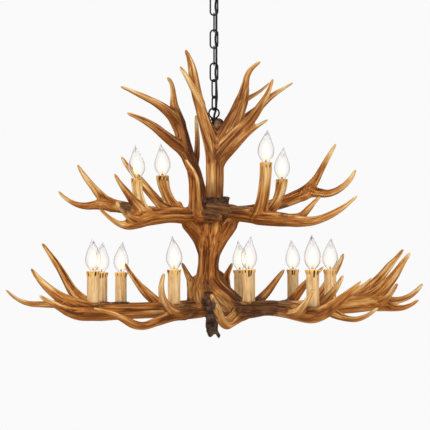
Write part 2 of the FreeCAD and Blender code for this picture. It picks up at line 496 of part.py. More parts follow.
def bulb(candle):
    """Sealed bulb: screw cap and flame-shaped glass whose tip leans to one side."""
    angle = math.radians(candle.turn)
    lean = Vector(math.cos(angle), math.sin(angle), 0) * BULB_BEND
    foot = Vector(candle.x, candle.y, candle.rim)
    wires = []
    for height, radius, share in BULB_SECTIONS:
        wires.append(ring_at(foot + lean * share + UP * height, UP, radius, Vector(1, 0, 0))[0])
    glass = Part.makeLoft(wires, True, False)
    cap_top = candle.rim - RIM_RECESS
    cap = cylinder(BULB_CAP_RADIUS, cap_top - BULB_CAP_HEIGHT, cap_top + 0.5, candle.x, candle.y)
    return glass.fuse(cap).removeSplitter()


# ---------------------------------------------------------------- canopy, chain and cord
def canopy():
    wall = CANOPY_WALL
    inner = [(CANOPY_RADIUS - wall, 0), (CANOPY_RADIUS - 1 - wall, -8), (57 - wall, -CANOPY_DEPTH + 13.5),
             (43.6, -CANOPY_DEPTH + 4 + wall), (19.8, -CANOPY_DEPTH + wall), (0, -CANOPY_DEPTH + wall)]
    shell = revolve(CANOPY_OUTLINE + inner)
    shell = shell.cut(cylinder(PIPE_HOLE, -CANOPY_DEPTH - 1, -CANOPY_DEPTH + 5))
    for x in (-CANOPY_SCREW_PITCH / 2, CANOPY_SCREW_PITCH / 2):
        shell = shell.cut(cylinder(CANOPY_SCREW_RADIUS + 0.4, -CANOPY_DEPTH - 1, -5, x))
    return shell


def slot(x, length, width, bottom, top):
    half = (length - width) / 2
    middle = Part.makeBox(2 * half, width, top - bottom, Vector(x - half, -width / 2, bottom))
    ends = [cylinder(width / 2, bottom, top, x + s * half) for s in (-1, 1)]
    return middle.fuse(ends).removeSplitter()


def crossbar():
    bar = Part.makeBox(CROSSBAR_LENGTH, CROSSBAR_WIDTH, CROSSBAR_THICK,
                       Vector(-CROSSBAR_LENGTH / 2, -CROSSBAR_WIDTH / 2, -CROSSBAR_THICK))
    for sign in (-1, 1):
        bar = bar.cut(slot(sign * CEILING_SLOT_PITCH / 2, CEILING_SLOT_LENGTH, CEILING_SLOT_WIDTH,
                           -CROSSBAR_THICK - 1, 1))
        bar = bar.cut(cylinder(CANOPY_SCREW_RADIUS, -CROSSBAR_THICK - 1, 1, sign * CANOPY_SCREW_PITCH / 2))
    return bar


def canopy_screw(x):
    """Machine screw hanging from the crossbar through the canopy."""
    return cylinder(CANOPY_SCREW_RADIUS, -CANOPY_DEPTH - 1, 0, x)


def cap_nut(x):
    """Small turned cap nut that holds the canopy up on its screw, seated on its sloping face."""
    nut = revolve([(radius, CAP_NUT_SEAT - drop) for radius, drop in CAP_NUT_PROFILE], x)
    return largest(nut.cut([canopy_screw(x), revolve(CANOPY_OUTLINE + [(0, 0)])]))


def link(length, width, wire):
    """A flat oval chain link standing in the XZ plane, centred on the origin."""
    radius = (width - wire) / 2
    straight = (length - wire) / 2 - radius
    top = Part.makeCircle(radius, Vector(0, 0, straight), Vector(0, -1, 0), 0, 180)
    low = Part.makeCircle(radius, Vector(0, 0, -straight), Vector(0, -1, 0), 180, 360)
    right = Part.makeLine(Vector(radius, 0, -straight), Vector(radius, 0, straight))
    left = Part.makeLine(Vector(-radius, 0, straight), Vector(-radius, 0, -straight))
    path = Part.Wire(Part.__sortEdges__([right, top, left, low]))
    section = Part.Wire([Part.makeCircle(wire / 2, Vector(radius, 0, 0), UP)])
    return path.makePipeShell([section], True, False)


def threaded_eye(centre_z, stem_length, upside_down):
    """Eye of the canopy or of the hub: a ring with a collar and a hollow stem for the cord."""
    sign = 1 if upside_down else -1
    ring = Part.makeTorus(LOOP_RADIUS, LOOP_WIRE / 2, Vector(0, 0, centre_z), Vector(0, 1, 0))
    base = centre_z + sign * (LOOP_RADIUS - LOOP_ROOT)
    end = base + sign * stem_length
    collar_end = base + sign * EYE_COLLAR_HEIGHT
    low, high = min(base, collar_end), max(base, collar_end)
    body = cylinder(EYE_COLLAR_RADIUS, low, high)
    stem = cylinder(PIPE_RADIUS, min(collar_end, end), max(collar_end, end))
    eye = ring.fuse([body, stem])
    reach = LOOP_RADIUS - LOOP_WIRE
    mouth = centre_z + sign * reach
    hole = cylinder(PIPE_BORE, min(mouth, end) - 0.1, max(mouth, end) + 0.1)
    return eye.cut(hole).removeSplitter()


def chain_heights():
    """Middle heights of the links, from the top, ending with the short end link."""
    contact = LINK_WIRE + LINK_GAP
    eye_contact = (LINK_WIRE + LOOP_WIRE) / 2 + LINK_GAP
    end_half = (END_LINK_LENGTH - LINK_WIRE) / 2
    half = (LINK_LENGTH - LINK_WIRE) / 2
    end_z = HUB_LOOP_Z + LOOP_RADIUS - eye_contact + end_half
    heights = [end_z]
    z = end_z + end_half - contact + half
    for _ in range(LINK_COUNT):
        heights.insert(0, z)
        z += 2 * half - contact
    return heights


def canopy_eye_height(heights):
    top_wire = heights[0] + (LINK_LENGTH - LINK_WIRE) / 2
    return top_wire - (LINK_WIRE + LOOP_WIRE) / 2 - LINK_GAP + LOOP_RADIUS


def cord_points(heights, eye_z):
    """The cord's route, chosen by hand: down the eye, woven through the links, into the hub."""
    side, weave = CORD_SIDE, CORD_WEAVE
    reach = LINK_LENGTH / 2 - 3.6
    first, second, third, fourth, fifth, sixth, last = heights
    return [
        Vector(3, 36, -17), Vector(2, 23, -10), Vector(1, 10, -8), Vector(0, 0.4, -14.5),
        Vector(0.05, 0, -27), Vector(0, 0.1, eye_z + 18), Vector(0.2, 0.3, eye_z + 8.5),
        Vector(3.0, 3.4, eye_z + 1), Vector(side, weave + 0.1, first + reach),
        Vector(CORD_INNER, 0, first), Vector(side, -weave, first - reach),
        Vector(side - 0.3, -weave - 0.4, second), Vector(side, -weave, third + reach),
        Vector(CORD_INNER, 0, third), Vector(side, weave, third - reach),
        Vector(side - 0.3, weave + 0.4, fourth), Vector(side, weave, fifth + reach),
        Vector(CORD_INNER, 0, fifth), Vector(side - 0.5, -weave, fifth - reach),
        Vector(side, -4.2, sixth), Vector(side + 1.1, 0.5, sixth - reach),
        Vector(side - 0.5, 2.2, last - 2), Vector(4.8, 6.0, HUB_LOOP_Z + 11.5),
        Vector(2.4, 4.0, HUB_LOOP_Z + 2), Vector(0.2, 0.1, HUB_LOOP_Z - 5.5),
        Vector(0, 0, HUB_LOOP_Z - 18), Vector(0.05, 0.1, HUB_LOOP_Z - 27),
    ]


def round_tube(points, radius):
    """A tube along straight runs joined by tangent arcs."""
    edges = []
    start = points[0]
    for before, corner, after in zip(points, points[1:], points[2:]):
        back = before - corner
        ahead = after - corner
        trim = 0.45 * min(back.Length, ahead.Length)
        turn = math.pi - back.getAngle(ahead)
        if turn < 0.001:
            continue
        first = corner + Vector(back).normalize() * trim
        second = corner + Vector(ahead).normalize() * trim
        bend = trim / math.tan(turn / 2)
        inward = (Vector(back).normalize() + Vector(ahead).normalize()).normalize()
        middle = corner + inward * (bend / math.cos(turn / 2) - bend)
        edges.append(Part.LineSegment(start, first).toShape())
        edges.append(Part.Arc(first, middle, second).toShape())
        start = second
    edges.append(Part.LineSegment(start, points[-1]).toShape())
    path = Part.Wire(edges)
    section = Part.Wire([Part.makeCircle(radius, points[0], points[1] - points[0])])
    solid = path.makePipeShell([section], True, False)
    print("cord length", round(path.Length, 1), "volume error",
          round(solid.Volume / (math.pi * radius ** 2 * path.Length) - 1, 5))
    return solid


# ---------------------------------------------------------------- hubs, column and finial
def burr(radius, bottom, top):
    """A rounded drum of antler bark around the pipe."""
    shoulder = HUB_ROUND * 0.4
    return revolve([(0, bottom), (radius - HUB_ROUND, bottom), (radius - 2, bottom + shoulder),
                    (radius, bottom + HUB_ROUND), (radius, top - HUB_ROUND), (radius - 2, top - shoulder),
                    (radius - HUB_ROUND, top), (0, top)])


def stack(sections):
    """A solid lofted through level circles given as (x, y, z, radius)."""
    wires = []
    for x, y, z, radius in sections:
        wires.append(ring_at(Vector(x, y, z), UP, radius, Vector(0, 1, 0))[0])
    return Part.makeLoft(wires, True, False)


def top_knob():
    return stack([(2, 1, -397, 9), (5, 2, -387, 13.6), (9, 3, -374, 15.6), (11, 3, -362, 14.4),
                  (11, 3, -353, 9.6)])


def finial():
    root = stack([(-4, 0, LOWER_HUB_BOTTOM, 18), (-5, 0, -806, 15), (-5.5, -1, -818, 13.6),
                  (-8, -2, -828, 8.6), (-10, -2, -835, 5), (-10.4, -2, -839, 2.4)])
    spur = stack([(-1, -2, -810, 9), (3, -3, -822, 6), (8, -4, -832, 4.4), (12, -5, -841, 2.4)])
    return root.fuse(spur).removeSplitter()


def pipe_nut(bottom, top, radius=9.0):
    angles = [math.radians(60 * i) for i in range(6)]
    points = [Vector(radius * math.cos(angle), radius * math.sin(angle), bottom) for angle in angles]
    block = Part.Face(Part.makePolygon(points + [points[0]])).extrude(Vector(0, 0, top - bottom))
    return block.cut(cylinder(PIPE_RADIUS, bottom - 1, top + 1))


# ---------------------------------------------------------------- building it
def make_antler(branches):
    solid = None
    for key, points in branches.items():
        limb = branch(points, rounded="cup" not in key)
        solid = limb if solid is None else solid.fuse(limb)
    return solid


def stud(name):
    """Steel stud that ties an antler's foot to its hub."""
    first, second, third = [spot(c, r, d) for c, r, w, d in ANTLERS[name]["beam"][:3]]
    outward = Vector(third - first)
    inner = first + Vector(outward).normalize() * 2
    return rod(STUD_RADIUS, inner, first + outward)


def main():
    heights = chain_heights()
    eye_z = canopy_eye_height(heights)
    candles = find_candles()
    pipe_hole = cylinder(PIPE_HOLE, PIPE_BOTTOM - 60, PIPE_TOP + 1)

    save("canopy", canopy())
    save("mounting_crossbar", crossbar())
    screw_sides = (-CANOPY_SCREW_PITCH / 2, CANOPY_SCREW_PITCH / 2)
    save_group("canopy_screws", [canopy_screw(x) for x in screw_sides])
    save_group("canopy_cap_nuts", [cap_nut(x) for x in screw_sides])
    stem = -CANOPY_DEPTH - eye_z - LOOP_RADIUS + LOOP_ROOT + EYE_THREAD
    upper_eye = threaded_eye(eye_z, stem, True)
    upper_eye.rotate(Vector(0, 0, 0), UP, 90)
    save("canopy_eye", upper_eye)
    save("canopy_eye_nut", pipe_nut(-CANOPY_DEPTH + CANOPY_WALL, -CANOPY_DEPTH + CANOPY_WALL + 4))

    oval = link(LINK_LENGTH, LINK_WIDTH, LINK_WIRE)
    end_oval = link(END_LINK_LENGTH, END_LINK_WIDTH, LINK_WIRE)
    for i, z in enumerate(heights):
        is_end = i == LINK_COUNT
        piece = (end_oval if is_end else oval).copy()
        turn = END_LINK_TURN if is_end else LINK_TURNS[i]
        piece.Placement = Placement(Vector(0, 0, z), Rotation(UP, turn))
        save("chain_link_%d" % (i + 1), piece)
    save("power_cord", round_tube(cord_points(heights, eye_z), CORD_RADIUS))

    hub_stem = HUB_LOOP_Z - LOOP_RADIUS + LOOP_ROOT - PIPE_TOP
    eye = threaded_eye(HUB_LOOP_Z, hub_stem, False)
    save("hub_eye", eye)
    save("centre_pipe", tube(PIPE_RADIUS, PIPE_BORE, PIPE_BOTTOM, PIPE_TOP))

    upper_hub = burr(UPPER_HUB_RADIUS, UPPER_HUB_BOTTOM, UPPER_HUB_TOP)
    lower_hub = burr(LOWER_HUB_RADIUS, LOWER_HUB_BOTTOM, LOWER_HUB_TOP)
    trunk = largest(make_antler(CENTRE_TRUNK).cut([upper_hub, lower_hub]))
    core = {"upper_hub_burr": upper_hub, "lower_hub_burr": lower_hub, "centre_column": trunk}
    studs = {name: stud(name) for name in ANTLERS if name != ON_PIPE}
    tie_rods = list(studs.values())

    seats = {name: [] for name in ANTLERS}
    trays = {}
    for index, candle in enumerate(candles):
        if candle.is_cup:
            seats[candle.antler].append(cylinder(SOCKET_RADIUS, candle.rim - RIM_RECESS - SOCKET_HEIGHT,
                                                 candle.rim + 5, candle.x, candle.y))
        else:
            trays[index] = tray(candle)
            seats[candle.antler].append(trays[index])
            seats[candle.antler].append(cylinder(SLEEVE_RADIUS, candle.foot, candle.rim,
                                                 candle.x, candle.y))

    done = []
    for name in ANTLERS:
        solid = make_antler(ANTLERS[name])
        solid = solid.cut([upper_hub, lower_hub, trunk, pipe_hole, eye] + tie_rods + seats[name])
        box = solid.BoundBox
        near = [other for other in done if box.intersect(other.BoundBox)]
        if near:
            solid = solid.cut(near)
        done.append(largest(solid))
        save(name, done[-1])

    knob_hole = cylinder(PIPE_HOLE, PIPE_TOP - 60, HUB_LOOP_Z)
    save("top_burr", largest(top_knob().cut([knob_hole, eye, done[0]])))
    for name, solid in core.items():
        save(name, largest(solid.cut([pipe_hole] + tie_rods)))
    finial_hole = cylinder(PIPE_HOLE, LOWER_HUB_BOTTOM - 9, LOWER_HUB_BOTTOM + 1)
    save("finial_burr", largest(finial().cut(finial_hole)))

    for tier in ("crown", "upper", "lower"):
        save_group(tier + "_tie_studs", [tie for name, tie in studs.items() if name.startswith(tier)])
    save_group("upper_lampholders", [socket(c) for c in candles if c.is_cup])
    save_group("lower_lampholders", [socket(c) for c in candles if not c.is_cup])
    save_group("lampholder_stems", [socket_stem(c) for c in candles if not c.is_cup])
    save_group("candle_sleeves", [sleeve(c) for c in candles if not c.is_cup])
    save_group("candle_trays", [trays[i] for i in sorted(trays)])
    for index, candle in enumerate(candles):
        save("bulb_%02d" % (index + 1), bulb(candle))


main()
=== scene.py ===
import math
import bmesh
import bpy
import numpy as np
import openvdb
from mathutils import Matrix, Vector


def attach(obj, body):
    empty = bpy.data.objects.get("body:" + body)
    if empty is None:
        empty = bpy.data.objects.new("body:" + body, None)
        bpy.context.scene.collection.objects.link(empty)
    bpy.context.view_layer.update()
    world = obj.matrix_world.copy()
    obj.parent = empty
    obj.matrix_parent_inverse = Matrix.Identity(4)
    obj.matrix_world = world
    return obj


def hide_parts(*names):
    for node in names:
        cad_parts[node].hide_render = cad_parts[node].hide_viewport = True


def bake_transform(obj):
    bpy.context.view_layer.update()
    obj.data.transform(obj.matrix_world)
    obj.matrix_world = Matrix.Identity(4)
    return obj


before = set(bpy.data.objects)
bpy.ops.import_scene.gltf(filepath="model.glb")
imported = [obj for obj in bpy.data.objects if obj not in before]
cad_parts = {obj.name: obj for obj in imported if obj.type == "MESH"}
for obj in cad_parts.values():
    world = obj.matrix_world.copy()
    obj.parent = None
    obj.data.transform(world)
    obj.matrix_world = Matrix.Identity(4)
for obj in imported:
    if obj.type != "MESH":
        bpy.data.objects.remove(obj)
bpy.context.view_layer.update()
MM = 0.001

# ---------------------------------------------------------------- the photograph's view
# A level line of sight meets the hanging axis at VIEW_HEIGHT, and one picture unit is VIEW_SCALE mm
# on that axis. The antlers stand BALANCE_SHIFT behind where they were read, so that they hang plumb.
VIEW_DISTANCE = 2500.0
VIEW_SCALE = 2.2
VIEW_HEIGHT = -690.0
VIEW_CENTRE = 215.0
AXIS_COLUMN = 214.0
HORIZON_ROW = 269.0
BALANCE_SHIFT = -8.0
PICTURE_SIZE = 430.0
FOCAL = VIEW_DISTANCE / VIEW_SCALE
TILT = math.atan((HORIZON_ROW - VIEW_CENTRE) / FOCAL)


# ---------------------------------------------------------------- antlers, read one by one
# Each branch: (column, row, width) in the picture, and its depth behind the hanging axis in mm.
# The first branch is the beam; names with "cup" end level, in a candle's cup.
CENTRE_TRUNK = {
    "beam": [(213, 216, 30, 0), (212.4, 222, 33, 0), (211.8, 230, 32.6, 0), (211, 238, 29.6, 0),
             (209.8, 246, 25.4, 0), (208.9, 255, 22.2, 0), (208.1, 265, 21.2, 0), (207.5, 275, 22.4, 0),
             (207.8, 285, 26, 0), (208.8, 294, 30, 0), (210, 303, 30, 0)],
    "left_shoulder": [(205, 246, 17, 0), (200.6, 236.6, 18, -6), (195, 228.6, 18, -16),
                      (188, 221.6, 16, -30)],
    "right_shoulder": [(214.5, 246, 16, 0), (219.4, 237.6, 18, -4), (225, 229.6, 18.6, -12),
                       (231, 221.6, 16, -24)],
    "right_foot": [(210.6, 272, 15, 0), (214.6, 282, 18, -6), (221.6, 291.6, 19.4, -18),
                   (231, 299.6, 19, -34)],
    "left_foot": [(205, 280, 14, 0), (200, 290, 13.4, 2), (194.6, 298.6, 12, 8)],
}
CROWN_FRONT_ANTLER = {
    "beam": [(214.6, 203, 18, 0), (214.8, 188, 18, 0), (215, 170, 18, 0), (215.2, 158, 18.6, 0),
             (212, 144, 17, -2), (207.5, 130, 14.5, -8), (203.2, 117, 13, -16), (200, 106, 11.6, -20),
             (196.8, 94, 11, -24), (194.2, 80, 10.2, -26), (191.6, 66, 7.8, -26), (188.8, 57, 5.4, -24),
             (185.8, 50.5, 2.6, -20)],
    "side_tine": [(200.4, 104, 8, -26), (195, 93, 7.2, -38), (190, 83, 6.2, -48), (185, 74, 4.6, -54),
                  (180.4, 67.3, 2.2, -56)],
    "right_beam": [(216, 160, 17, 0), (220, 147, 19, 2), (227, 132, 18, 4), (234.6, 118, 17, 6),
                   (240, 105, 14.5, 10), (243.6, 94, 11, 12), (245.2, 85, 7.6, 14), (246.8, 77.5, 6.2, 16),
                   (249.8, 71, 5.4, 14), (254.8, 65.6, 4.2, 8), (260, 62, 2.2, 2)],
    "thin_tine": [(241, 103, 8.6, 14), (247, 99, 5.6, 28), (254, 95, 4.2, 42), (260, 91.2, 3.4, 54),
                  (266, 86.2, 2.6, 64), (270, 82.6, 1.6, 70)],
    "wide_tine": [(217, 158, 15, -4), (226, 146, 15.5, -12), (237, 134, 14, -24), (246.5, 124, 12, -38),
                  (253.5, 116, 10.5, -52), (259, 108, 9, -64), (263.5, 101, 7.4, -72),
                  (267.6, 93.5, 5.8, -78), (270.8, 85.6, 4, -82), (272.8, 79.2, 1.8, -84)],
    "rear_tine": [(234, 127, 11, 12), (244, 120, 10.4, 26), (252, 114, 9, 44), (260, 107, 7.6, 60),
                  (268, 99, 6, 80), (276, 93, 4.8, 94), (285, 87.6, 3.2, 104), (292.6, 83, 1.6, 110)],
    "low_tine": [(221, 158, 12, -4), (229, 150.6, 11, -14), (237, 142.6, 9.4, -22), (245, 135.4, 7.2, -30),
                 (252.5, 129.6, 5.4, -36), (260, 124.6, 3.6, -40), (267.6, 119.8, 1.6, -42)],
}
CROWN_LEFT_ANTLER = {
    "beam": [(203, 207, 12.5, 36), (199.6, 190, 12.5, 42), (195, 174, 13.5, 46), (188.6, 158, 14.5, 46),
             (184.4, 145, 15, 42), (180.6, 130, 14, 36), (176.8, 117, 13, 30), (174, 106, 9.6, 28),
             (173.4, 96, 6.6, 30), (172.6, 88, 5.4, 32), (170.8, 82, 4.4, 32), (167.8, 77.7, 2.4, 30)],
    "long_tine": [(178.6, 124, 12, 32), (172.6, 116, 12, 20), (165, 109, 10.4, 6), (156, 103, 8.2, -6),
                  (146.5, 98.2, 6.6, -18), (137, 93.8, 5.2, -28), (128, 89.6, 3.6, -36),
                  (121, 86.6, 1.8, -42)],
    "low_tine": [(184.4, 150, 13, 42), (178, 145.6, 12.4, 28), (171, 140.4, 11.6, 10),
                 (164, 134.6, 10.4, -8), (157, 128.8, 9.2, -24), (149.6, 123.8, 8, -36),
                 (142, 119.4, 6.4, -46), (134.5, 116, 4.4, -54), (127.5, 113.2, 2, -60)],
    "rear_tine": [(194, 170, 8.6, 58), (196.4, 156, 7, 78), (197.2, 142, 5.4, 94), (196.8, 129, 4.4, 104),
                  (195.8, 116, 2.4, 112)],
}
UPPER_FRONT_LEFT_ANTLER = {
    "beam": [(205, 212, 14, -12), (195, 214.4, 15, -28), (184, 215.6, 15.5, -50), (172, 215, 15.5, -74),
             (160, 216, 16, -98), (148, 218, 16, -120), (138, 221.5, 14, -138), (129, 224.6, 10.5, -152),
             (120, 224, 6.6, -162), (111.5, 219, 5, -170), (104.5, 213, 3.8, -176), (99.2, 208, 1.8, -180)],
    "short_tine": [(140, 219, 11, -138), (132.5, 219, 9, -158), (126, 214.5, 6.4, -172),
                   (120.5, 208.5, 4.6, -180), (116.6, 202.6, 2.2, -184)],
    "left_cup": [(149, 216, 14, -116), (142.6, 209, 13, -124), (139.6, 201, 11.8, -128),
                 (137.9, 193, 11.2, -130), (137.1, 186, 11.8, -130), (136.9, 178.2, 13, -130)],
    "left_tine": [(143.6, 213.4, 10.8, -124), (134, 202, 9.8, -150), (128.5, 194.4, 8, -166),
                  (123.5, 187.8, 6.2, -178), (118.7, 181, 4.4, -186), (114.9, 174.3, 2.2, -190)],
    "right_cup": [(182, 214.6, 13.5, -52), (176.4, 209, 13, -50), (170.4, 201.5, 12, -46),
                  (166.2, 193, 11.6, -42), (163.6, 185, 12.4, -38), (162.4, 175.6, 13.4, -36)],
    "rear_tine": [(173, 214, 12, -70), (164, 208, 11, -46), (156.4, 200, 10, -22), (149, 191.4, 9.4, 0),
                  (141.5, 182.3, 8.8, 18), (134, 173.8, 7.4, 32), (127, 165.4, 5.2, 42),
                  (121.5, 157.2, 2.4, 48)],
    "broad_tine": [(196, 213, 14, -34), (195, 206, 13.6, -48), (194.8, 197, 12.4, -60),
                   (194.6, 188, 11.4, -68), (193.8, 180, 10.6, -72), (191.4, 172.5, 8.6, -74),
                   (188.4, 165.6, 5.4, -74), (185.5, 159.8, 2, -74)],
    "stub": [(180.5, 213, 5, -44), (180.6, 207, 4.2, -42), (180.2, 202.6, 3, -42)],
    "root_knuckle": [(197, 214.6, 14.4, -30), (204.6, 215.6, 14.4, -38), (212.4, 216.6, 13, -43),
                     (219.4, 217, 9, -43)],
}
UPPER_LEFT_ANTLER = {
    "beam": [(204, 212, 11.5, 8), (192, 213, 11, 24), (176, 213.5, 11, 44), (158, 212.5, 11.4, 58),
             (141, 210.5, 11.8, 66), (127, 208, 12.4, 70), (115, 206, 13, 72), (105, 204.4, 12.4, 72),
             (95.5, 205, 9.6, 72), (86.5, 206, 7.6, 72), (77.5, 204.6, 6.2, 74), (69.5, 201, 4.8, 80),
             (63, 196.2, 3.6, 86), (58.8, 191.6, 1.8, 90)],
    "high_tine": [(111, 205.4, 12, 72), (104.4, 200, 11, 80), (98.4, 193.4, 9, 90), (92.8, 186.6, 7.4, 98),
                  (87, 179.4, 6, 104), (81.8, 172, 4.2, 110), (77.8, 165.4, 2.2, 114)],
}
UPPER_FRONT_RIGHT_ANTLER = {
    "beam": [(224, 211.4, 13.5, -12), (235, 213.4, 15.5, -30), (247, 214.8, 16.5, -52),
             (260, 216.8, 16.5, -76), (273, 218.4, 15.4, -100), (286, 219.8, 13.6, -122),
             (299, 221, 12.2, -140), (311, 221, 9.8, -154), (322, 218.6, 8.2, -164), (333, 213.8, 7, -172),
             (343, 207.4, 5.6, -176), (351.5, 200.8, 3.8, -178), (357, 196.1, 1.8, -180)],
    "short_tine": [(296, 219, 9.6, -134), (303, 215, 8.6, -122), (308.6, 209.2, 7, -112),
                   (314, 202.8, 5, -106), (320, 197, 2.2, -102)],
    "left_cup": [(257, 216, 14, -74), (260.4, 207, 13.4, -88), (262.8, 197.5, 12.8, -102),
                 (264.4, 187, 12.4, -112), (265.5, 176, 12.4, -120), (266, 162.4, 13, -124)],
    "right_cup": [(266, 216, 11, -78), (271, 210.6, 10.6, -60), (275.6, 203.6, 10.6, -46),
                  (278.9, 196, 10.8, -36), (281, 188, 11.8, -32), (282, 179, 13, -30)],
    "root_knuckle": [(231, 212.4, 14.6, -27), (222.6, 210.4, 14, -34), (214.4, 208.4, 12.4, -38),
                     (207, 207, 9, -37)],
}
UPPER_RIGHT_ANTLER = {
    "beam": [(223, 211.4, 11, 12), (232, 211.4, 10.6, 26), (245, 210.6, 11, 44), (260, 208.4, 11.4, 60),
             (275, 204.4, 12.6, 70), (288, 200.2, 13.4, 72), (299, 195.6, 13.8, 70), (309, 191.6, 12.6, 66),
             (318, 192.6, 9.6, 60), (327.5, 193.4, 8.2, 54), (336.5, 190.6, 7.2, 50), (344.6, 185, 6.2, 46),
             (351, 178, 5, 44), (355.6, 170.4, 2.4, 44)],
    "high_tine": [(304, 194, 12, 68), (310.2, 187.5, 11.6, 76), (315.6, 179.5, 9.2, 86),
                  (320.2, 171, 7.4, 94), (325.2, 162, 6, 102), (330.8, 152.4, 4.4, 108),
                  (335.4, 144.6, 2.2, 110)],
}
UPPER_BACK_ANTLER = {
    "beam": [(214, 211.6, 13.5, 20), (213.6, 211, 14, 60), (213, 210.6, 13.5, 100), (211, 210.4, 12, 145),
             (205, 210.4, 9.6, 190), (196, 211, 7.6, 230), (186.5, 211.5, 5.4, 262),
             (177, 211.5, 2.4, 286)],
    "right_fork": [(212.4, 210.4, 11.4, 122), (219, 210.4, 9.4, 165), (228.5, 210, 7.6, 205),
                   (239, 209.6, 5.4, 238), (249, 209, 2.4, 262)],
    "cup": [(213, 210, 13, 104), (213.8, 203, 12.2, 112), (214.6, 195, 12, 116), (214.9, 187, 12.4, 118),
            (215, 178.2, 13, 118)],
    "side_tine": [(210.6, 209.6, 9, 56), (208, 201, 7, 66), (205.4, 193, 5.6, 72), (203, 185.4, 4.2, 76),
                  (201.2, 179.4, 2, 78)],
}
LOWER_FRONT_LEFT_ANTLER = {
    "beam": [(207, 309, 15, -12), (197, 310.5, 16, -30), (187, 312, 15.6, -54), (177, 314.2, 13.6, -80),
             (166, 318.2, 11.2, -110), (155, 322.4, 9.2, -140), (143.5, 325.8, 8.6, -168),
             (133.5, 324.2, 8.8, -190), (124, 319.2, 8, -206), (113.5, 314.4, 5.8, -218),
             (103.5, 310.8, 3.6, -226), (94.2, 308.2, 1.6, -230)],
    "brow_tine": [(184, 312, 14, -64), (175, 311, 12.6, -92), (168.4, 307, 10.2, -116),
                  (163.8, 301, 8.2, -134), (161.6, 293.5, 6.8, -146), (161.4, 285.5, 5.8, -154),
                  (162.6, 279, 4.6, -158), (164, 273.8, 2.2, -160)],
}
LOWER_LEFT_ANTLER = {
    "beam": [(203, 307, 14, -2), (190, 308.4, 14, -8), (175, 309.4, 14.5, -16), (158, 310.4, 14.8, -26),
             (140, 311.2, 15, -36), (123, 311.8, 15.6, -46), (107, 312.2, 17, -56), (93, 312.6, 17.6, -66),
             (80, 312.6, 16.4, -80), (69, 310.8, 12.5, -94), (60, 307, 8.8, -106), (51, 302.6, 6, -116),
             (45, 299.3, 4.4, -122), (40, 296, 2.2, -126)],
    "middle_tine": [(91, 309.6, 15.5, -66), (79, 306, 15.4, -74), (68, 301.6, 13.4, -80),
                    (58.4, 296, 11, -84), (50, 289.6, 8.8, -86), (42.6, 282.6, 7, -86),
                    (36.4, 275.8, 5, -84), (31.5, 269.3, 2.4, -82)],
    "high_tine": [(97, 310, 15, -58), (87, 304.4, 14.6, -50), (78.8, 298, 12.6, -40),
                  (72.4, 290.6, 10.4, -28), (67.6, 282.8, 8.8, -16), (63, 274.4, 7.8, -6),
                  (58, 266, 7, 4), (52.6, 258, 5.8, 12), (47, 250, 4.4, 18), (42.6, 244, 2.4, 22)],
    "inner_tine": [(166, 309, 12.4, -20), (157, 302.4, 11.2, -10), (148.2, 294.8, 10, -2),
                   (140.8, 287, 7.8, 6), (134.6, 279, 6.2, 12), (129.4, 271.4, 4.6, 16),
                   (125.2, 263.8, 2.2, 18)],
}
LOWER_FRONT_RIGHT_ANTLER = {
    "beam": [(219, 307, 17, -12), (228, 308.4, 18, -30), (239, 310, 18.4, -54), (251, 309.8, 17, -80),
             (264, 308, 15.4, -110), (277, 308.4, 15.8, -140), (290, 310.4, 17.2, -168),
             (302, 313, 18, -190), (313, 314.6, 17.4, -206), (323, 312.4, 15, -216),
             (331.5, 307.4, 12, -222), (339, 301, 9.4, -224), (347, 294, 7, -222),
             (355, 287, 4.4, -218), (360.8, 281.7, 1.8, -214)],
    "brow_tine": [(241, 313, 15.4, -66), (233, 319.6, 12.8, -94), (226.8, 324.4, 10.6, -120),
                  (222, 320.4, 10, -142), (218.8, 313.2, 9.2, -158), (216, 306, 7.6, -168),
                  (213.4, 299.8, 5, -174), (211, 294.4, 2, -176)],
    "candle_tine": [(291, 312.4, 10, -184), (298.5, 310.6, 9.2, -212), (304.5, 304.4, 7.6, -228),
                    (309.4, 296.6, 5.4, -238), (313, 289.4, 2.2, -242)],
    "outer_tine": [(314, 310.4, 12, -196), (318, 307.6, 11.2, -188), (321.8, 304.4, 10.4, -180),
                   (329, 297, 8.6, -160), (335.2, 289.4, 7, -144), (339.8, 282.2, 4.8, -134),
                   (343, 276, 2.2, -130)],
    "rear_tip": [(334, 303.6, 9.4, -214), (344, 298.6, 7, -192), (352, 293.4, 5.4, -172),
                 (360, 287.8, 4, -156), (366.5, 282.8, 2.8, -146), (371.6, 278, 1.4, -140)],
}
